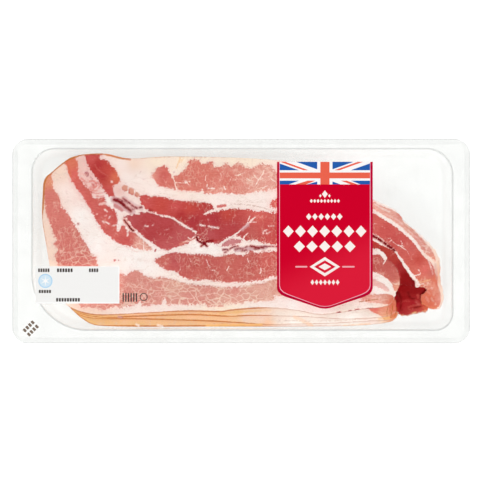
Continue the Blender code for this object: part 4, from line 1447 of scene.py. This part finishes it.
def pennant(inset, top):
    """The front label's outline, moved in by inset from its sides and its point."""
    half = LABEL_HALF - inset
    lift = inset * POINT_LIFT
    left = [(-half + x, y + lift) for x, y in LABEL_CORNER]
    left += [(-6.2, -37.7 + lift), (-2.8, -38.8 + lift), (0, LABEL_TIP + lift)]
    right = [(-x, y) for x, y in reversed(left[:-1])]
    return [(LABEL_X + x, y) for x, y in [(-half, top)] + left + right + [(half, top)]]


def add_label(inks):
    """The pennant, with its line and field, the flag along its top and rows of plain shapes."""
    def printed(name, outlines, top, ink):
        plate(name, outlines, PRINT_LOW, top, inks[ink])

    base = plate("front_label_base", [pennant(0, LABEL_TOP)], PLATE_LOW, PLATE_TOP, inks["crimson"])
    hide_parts("front_label")
    left, right = LABEL_X - FLAG_HALF, LABEL_X + FLAG_HALF
    top, low = LABEL_TOP - 0.02, FLAG_LOW
    # The flag's fields and diagonals, over and under its level bar from 35 to 41.
    blues = [
        [(31.8, top), (44, 41.5), (44, top)], [(left, 44.9), (left, 41), (33.5, 41)],
        [(52.8, top), (52.8, 41.5), (65, top)], [(right, 45), (63.3, 41), (right, 41)],
        [(left, 35), (left, low), (27.6, low), (33.5, 35)], [(44, 34.5), (38, low), (44, low)],
        [(52.8, 34.5), (52.8, low), (57.4, low)], [(right, 35), (63.5, 35), (69, low), (right, low)],
    ]
    diagonals = [
        [(22.5, top), (36, 41), (39, 41), (25.5, top)], [(67.5, top), (53.8, 41), (57, 41), (70.5, top)],
        [(38.5, 35), (31.4, low), (37.6, low), (43, 35)], [(57.5, 35), (63.4, low), (67.4, low), (61, 35)],
    ]
    printed("front_label_line", [pennant(LABEL_LINE_IN, LABEL_TOP - 0.01)], 17.95, "blush")
    printed("front_label_field", [pennant(LABEL_FIELD_IN, low)], 17.98, "red")
    printed("flag_ground", [bar(left, right, low, top)], 18.0, "white")
    printed("flag_blue", blues, 18.03, "blue")
    printed("flag_diagonals", diagonals, 18.04, "flag_red")
    pale_cross = cross(left, right, low, top - 0.01, (44.2, 52.8), (35.3, 41))
    printed("flag_cross_edge", [pale_cross], 18.06, "white")
    red_cross = cross(left, right, low, top - 0.02, (45.8, 51.1), (36.3, 39.7))
    printed("flag_cross", [red_cross], 18.08, "flag_red")
    printed("label_words", [shape for row in WORD_ROWS for shape in diamond_row(*row)], 18.0, "cream")
    printed("label_count", [diamond(LABEL_X, COUNT_Y, *half) for half in COUNT_DIAMONDS], 18.01, "cream")
    rules = [bar(x0, x1, -15.25, -14.35, 0.4) for x0, x1 in ((31.3, 38.3), (58.4, 65.6))]
    printed("label_rules", rules, 18.0, "rule")
    group = [diamond(LABEL_X, 27.2, 1.7, 2.2)]
    group += [diamond(LABEL_X + aside, 26.2, 0.7, 1.0) for aside in (-2.6, 2.6)]
    printed("label_mark", group, 18.0, "cream")


def add_panel(inks):
    """The pale card by the peel corner, with rows of blocks and a disc."""
    def printed(name, outlines, top, ink):
        plate(name, outlines, PRINT_LOW, top, inks[ink])

    panel = plate("date_panel_card", [bar(-119, -70.4, -36.1, -14.5, 0.6, 5)], PLATE_LOW, PLATE_TOP,
                  inks["card_rim"])
    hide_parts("date_panel")
    printed("date_panel_face", [bar(-118.9, -71.2, -35.3, -14.6, 0.5, 5)], 17.95, "card")
    printed("date_panel_blocks", [block for row in PANEL_ROWS for block in block_row(*row)], 17.98, "brown")
    printed("date_panel_disc_rim", [disc(*PANEL_DISC, 4.1)], 17.97, "sky_rim")
    printed("date_panel_disc", [disc(*PANEL_DISC, 3.5)], 17.99, "sky")
    printed("date_panel_star", [round_about(*PANEL_DISC, [3.1, 0.75] * 6, pi / 2)], 18.01, "card_rim")


def add_film_marks(inks):
    """The weight mark, a row of bars and a ring, and the peel mark across the corner."""
    def printed(name, outlines, ink):
        plate(name, outlines, FILM_TOP, MARK_TOP, inks[ink])

    printed("weight_mark", block_row(-68.6, -60.2, -35.1, -30.0, 6, 0.8, 0.3), "brown")
    printed("weight_mark_ring", [disc(*WEIGHT_RING, 2.3), disc(*WEIGHT_RING, 1.8)[::-1]], "brown")
    rows = []
    for row in (1.5, -1.9):
        for i in range(4):
            along = -3.9 + i * 2.15
            block = bar(along, along + 1.5, row - 1.1, row + 1.1, 0.3)
            rows.append([(PEEL_CORNER[0] + (x - y) * PEEL_TURN, PEEL_CORNER[1] + (x + y) * PEEL_TURN)
                         for x, y in block])
    printed("peel_mark", rows, "taupe")


# === light, floor and camera =================================================================
VIEW_WIDTH = 0.27965      # metres across the view at the height of the meat
VIEW_HEIGHT = 1.2         # from the meat to the lens
VIEW_CENTRE = (0.0002, -0.0002)
FOCUS_Z = 0.0165
SENSOR = 36.0
CLEAR_LAYERS = 24         # layers of clear plastic that light may pass through
SUN_TILT = 45
SUN_SPREAD = 36
# Each sun: its name, its turn about the vertical and its power.
SUNS = [
    ("far_left", 145, 0.43), ("near_left", 55, 1.98), ("near_right", 325, 1.62), ("far_right", 235, 0.35),
]
# The sky is bright at the sides and dark above, so that the film mirrors little of it.
SKY = {"From Min": 0.55, "From Max": 0.88, "To Min": 1.28, "To Max": 0.02}
FLOOR_SIZE = 6
FLOOR_Z = -0.0004
FLOOR_LOOK = {
    "Base Color": (0.1, 0.1, 0.1, 1), "Roughness": 0.9, "Specular IOR Level": 0.0,
    "Emission Color": (1, 1, 1, 1), "Emission Strength": 1.03,
}


def add_camera(scene):
    eye = bpy.data.cameras.new("camera")
    camera = bpy.data.objects.new("camera", eye)
    scene.collection.objects.link(camera)
    eye.sensor_width = SENSOR
    eye.lens = SENSOR * VIEW_HEIGHT / VIEW_WIDTH
    camera.location = (*VIEW_CENTRE, FOCUS_Z + VIEW_HEIGHT)
    scene.camera = camera


def add_light(scene):
    world = bpy.data.worlds.new("studio")
    scene.world = world
    world.use_nodes = True
    tree = world.node_tree
    split = tree.nodes.new("ShaderNodeSeparateXYZ")
    ramp = tree.nodes.new("ShaderNodeMapRange")
    ramp.interpolation_type = 'SMOOTHSTEP'
    tree.links.new(tree.nodes.new("ShaderNodeTexCoord").outputs["Generated"], split.inputs[0])
    tree.links.new(split.outputs["Z"], ramp.inputs["Value"])
    tree.links.new(ramp.outputs[0], tree.nodes["Background"].inputs["Strength"])
    for name, value in SKY.items():
        ramp.inputs[name].default_value = value
    for name, turn, power in SUNS:
        sun = bpy.data.lights.new(name, 'SUN')
        sun.energy = power
        sun.angle = radians(SUN_SPREAD)
        lamp = bpy.data.objects.new(name, sun)
        lamp.rotation_euler = (radians(SUN_TILT), 0, radians(turn))
        scene.collection.objects.link(lamp)


def add_floor():
    floor = lay_flat("floor", (0, 0), (FLOOR_SIZE, FLOOR_SIZE), FLOOR_Z)
    white = Finish("floor_white")
    for name, value in FLOOR_LOOK.items():
        white.shader.inputs[name].default_value = value
    floor.data.materials.append(white.material)


INKS = {
    "crimson": (188, 0, 48), "blush": (238, 170, 190), "red": (206, 0, 40), "white": (250, 248, 248),
    "blue": (38, 92, 172), "flag_red": (235, 100, 78), "cream": (252, 240, 236), "rule": (240, 170, 180),
    "card": (244, 243, 241), "card_rim": (251, 251, 250), "brown": (70, 62, 60),
    "taupe": (128, 112, 100), "sky": (212, 231, 244), "sky_rim": (176, 214, 240),
}
# The red field's second tone is a painted sheen, lighter towards the label's near right.
PAINTED_SHEENS = {"red": (219, 28, 56)}   # inks that turn into a second tone across the label


def main():
    scene = bpy.context.scene
    scene.view_settings.view_transform = 'Standard'
    scene.cycles.transparent_max_bounces = CLEAR_LAYERS
    add_camera(scene)
    add_light(scene)
    add_floor()
    add_tray(clear_finish("clear_plastic", (0.98, 0.985, 0.978), 0.08, (0.78, 0.79, 0.785), haze=0.1))
    half_x, half_y = HALF_PACK
    film = plate("film_sheet", [bar(-half_x, half_x, -half_y, half_y, PACK_RADIUS, CORNER_STEPS)],
                 FILM_LOW, FILM_TOP, clear_finish("film", (0.997, 0.997, 0.995), 0.05))
    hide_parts("lid_film")
    meat = meat_finish()
    for number in range(1, SLICES + 1):
        add_slice(number, meat)
    inks = {name: print_finish(name, paint(*steps), paint(*PAINTED_SHEENS[name]) if name in PAINTED_SHEENS else None)
            for name, steps in INKS.items()}
    add_label(inks)
    add_panel(inks)
    add_film_marks(inks)


main()
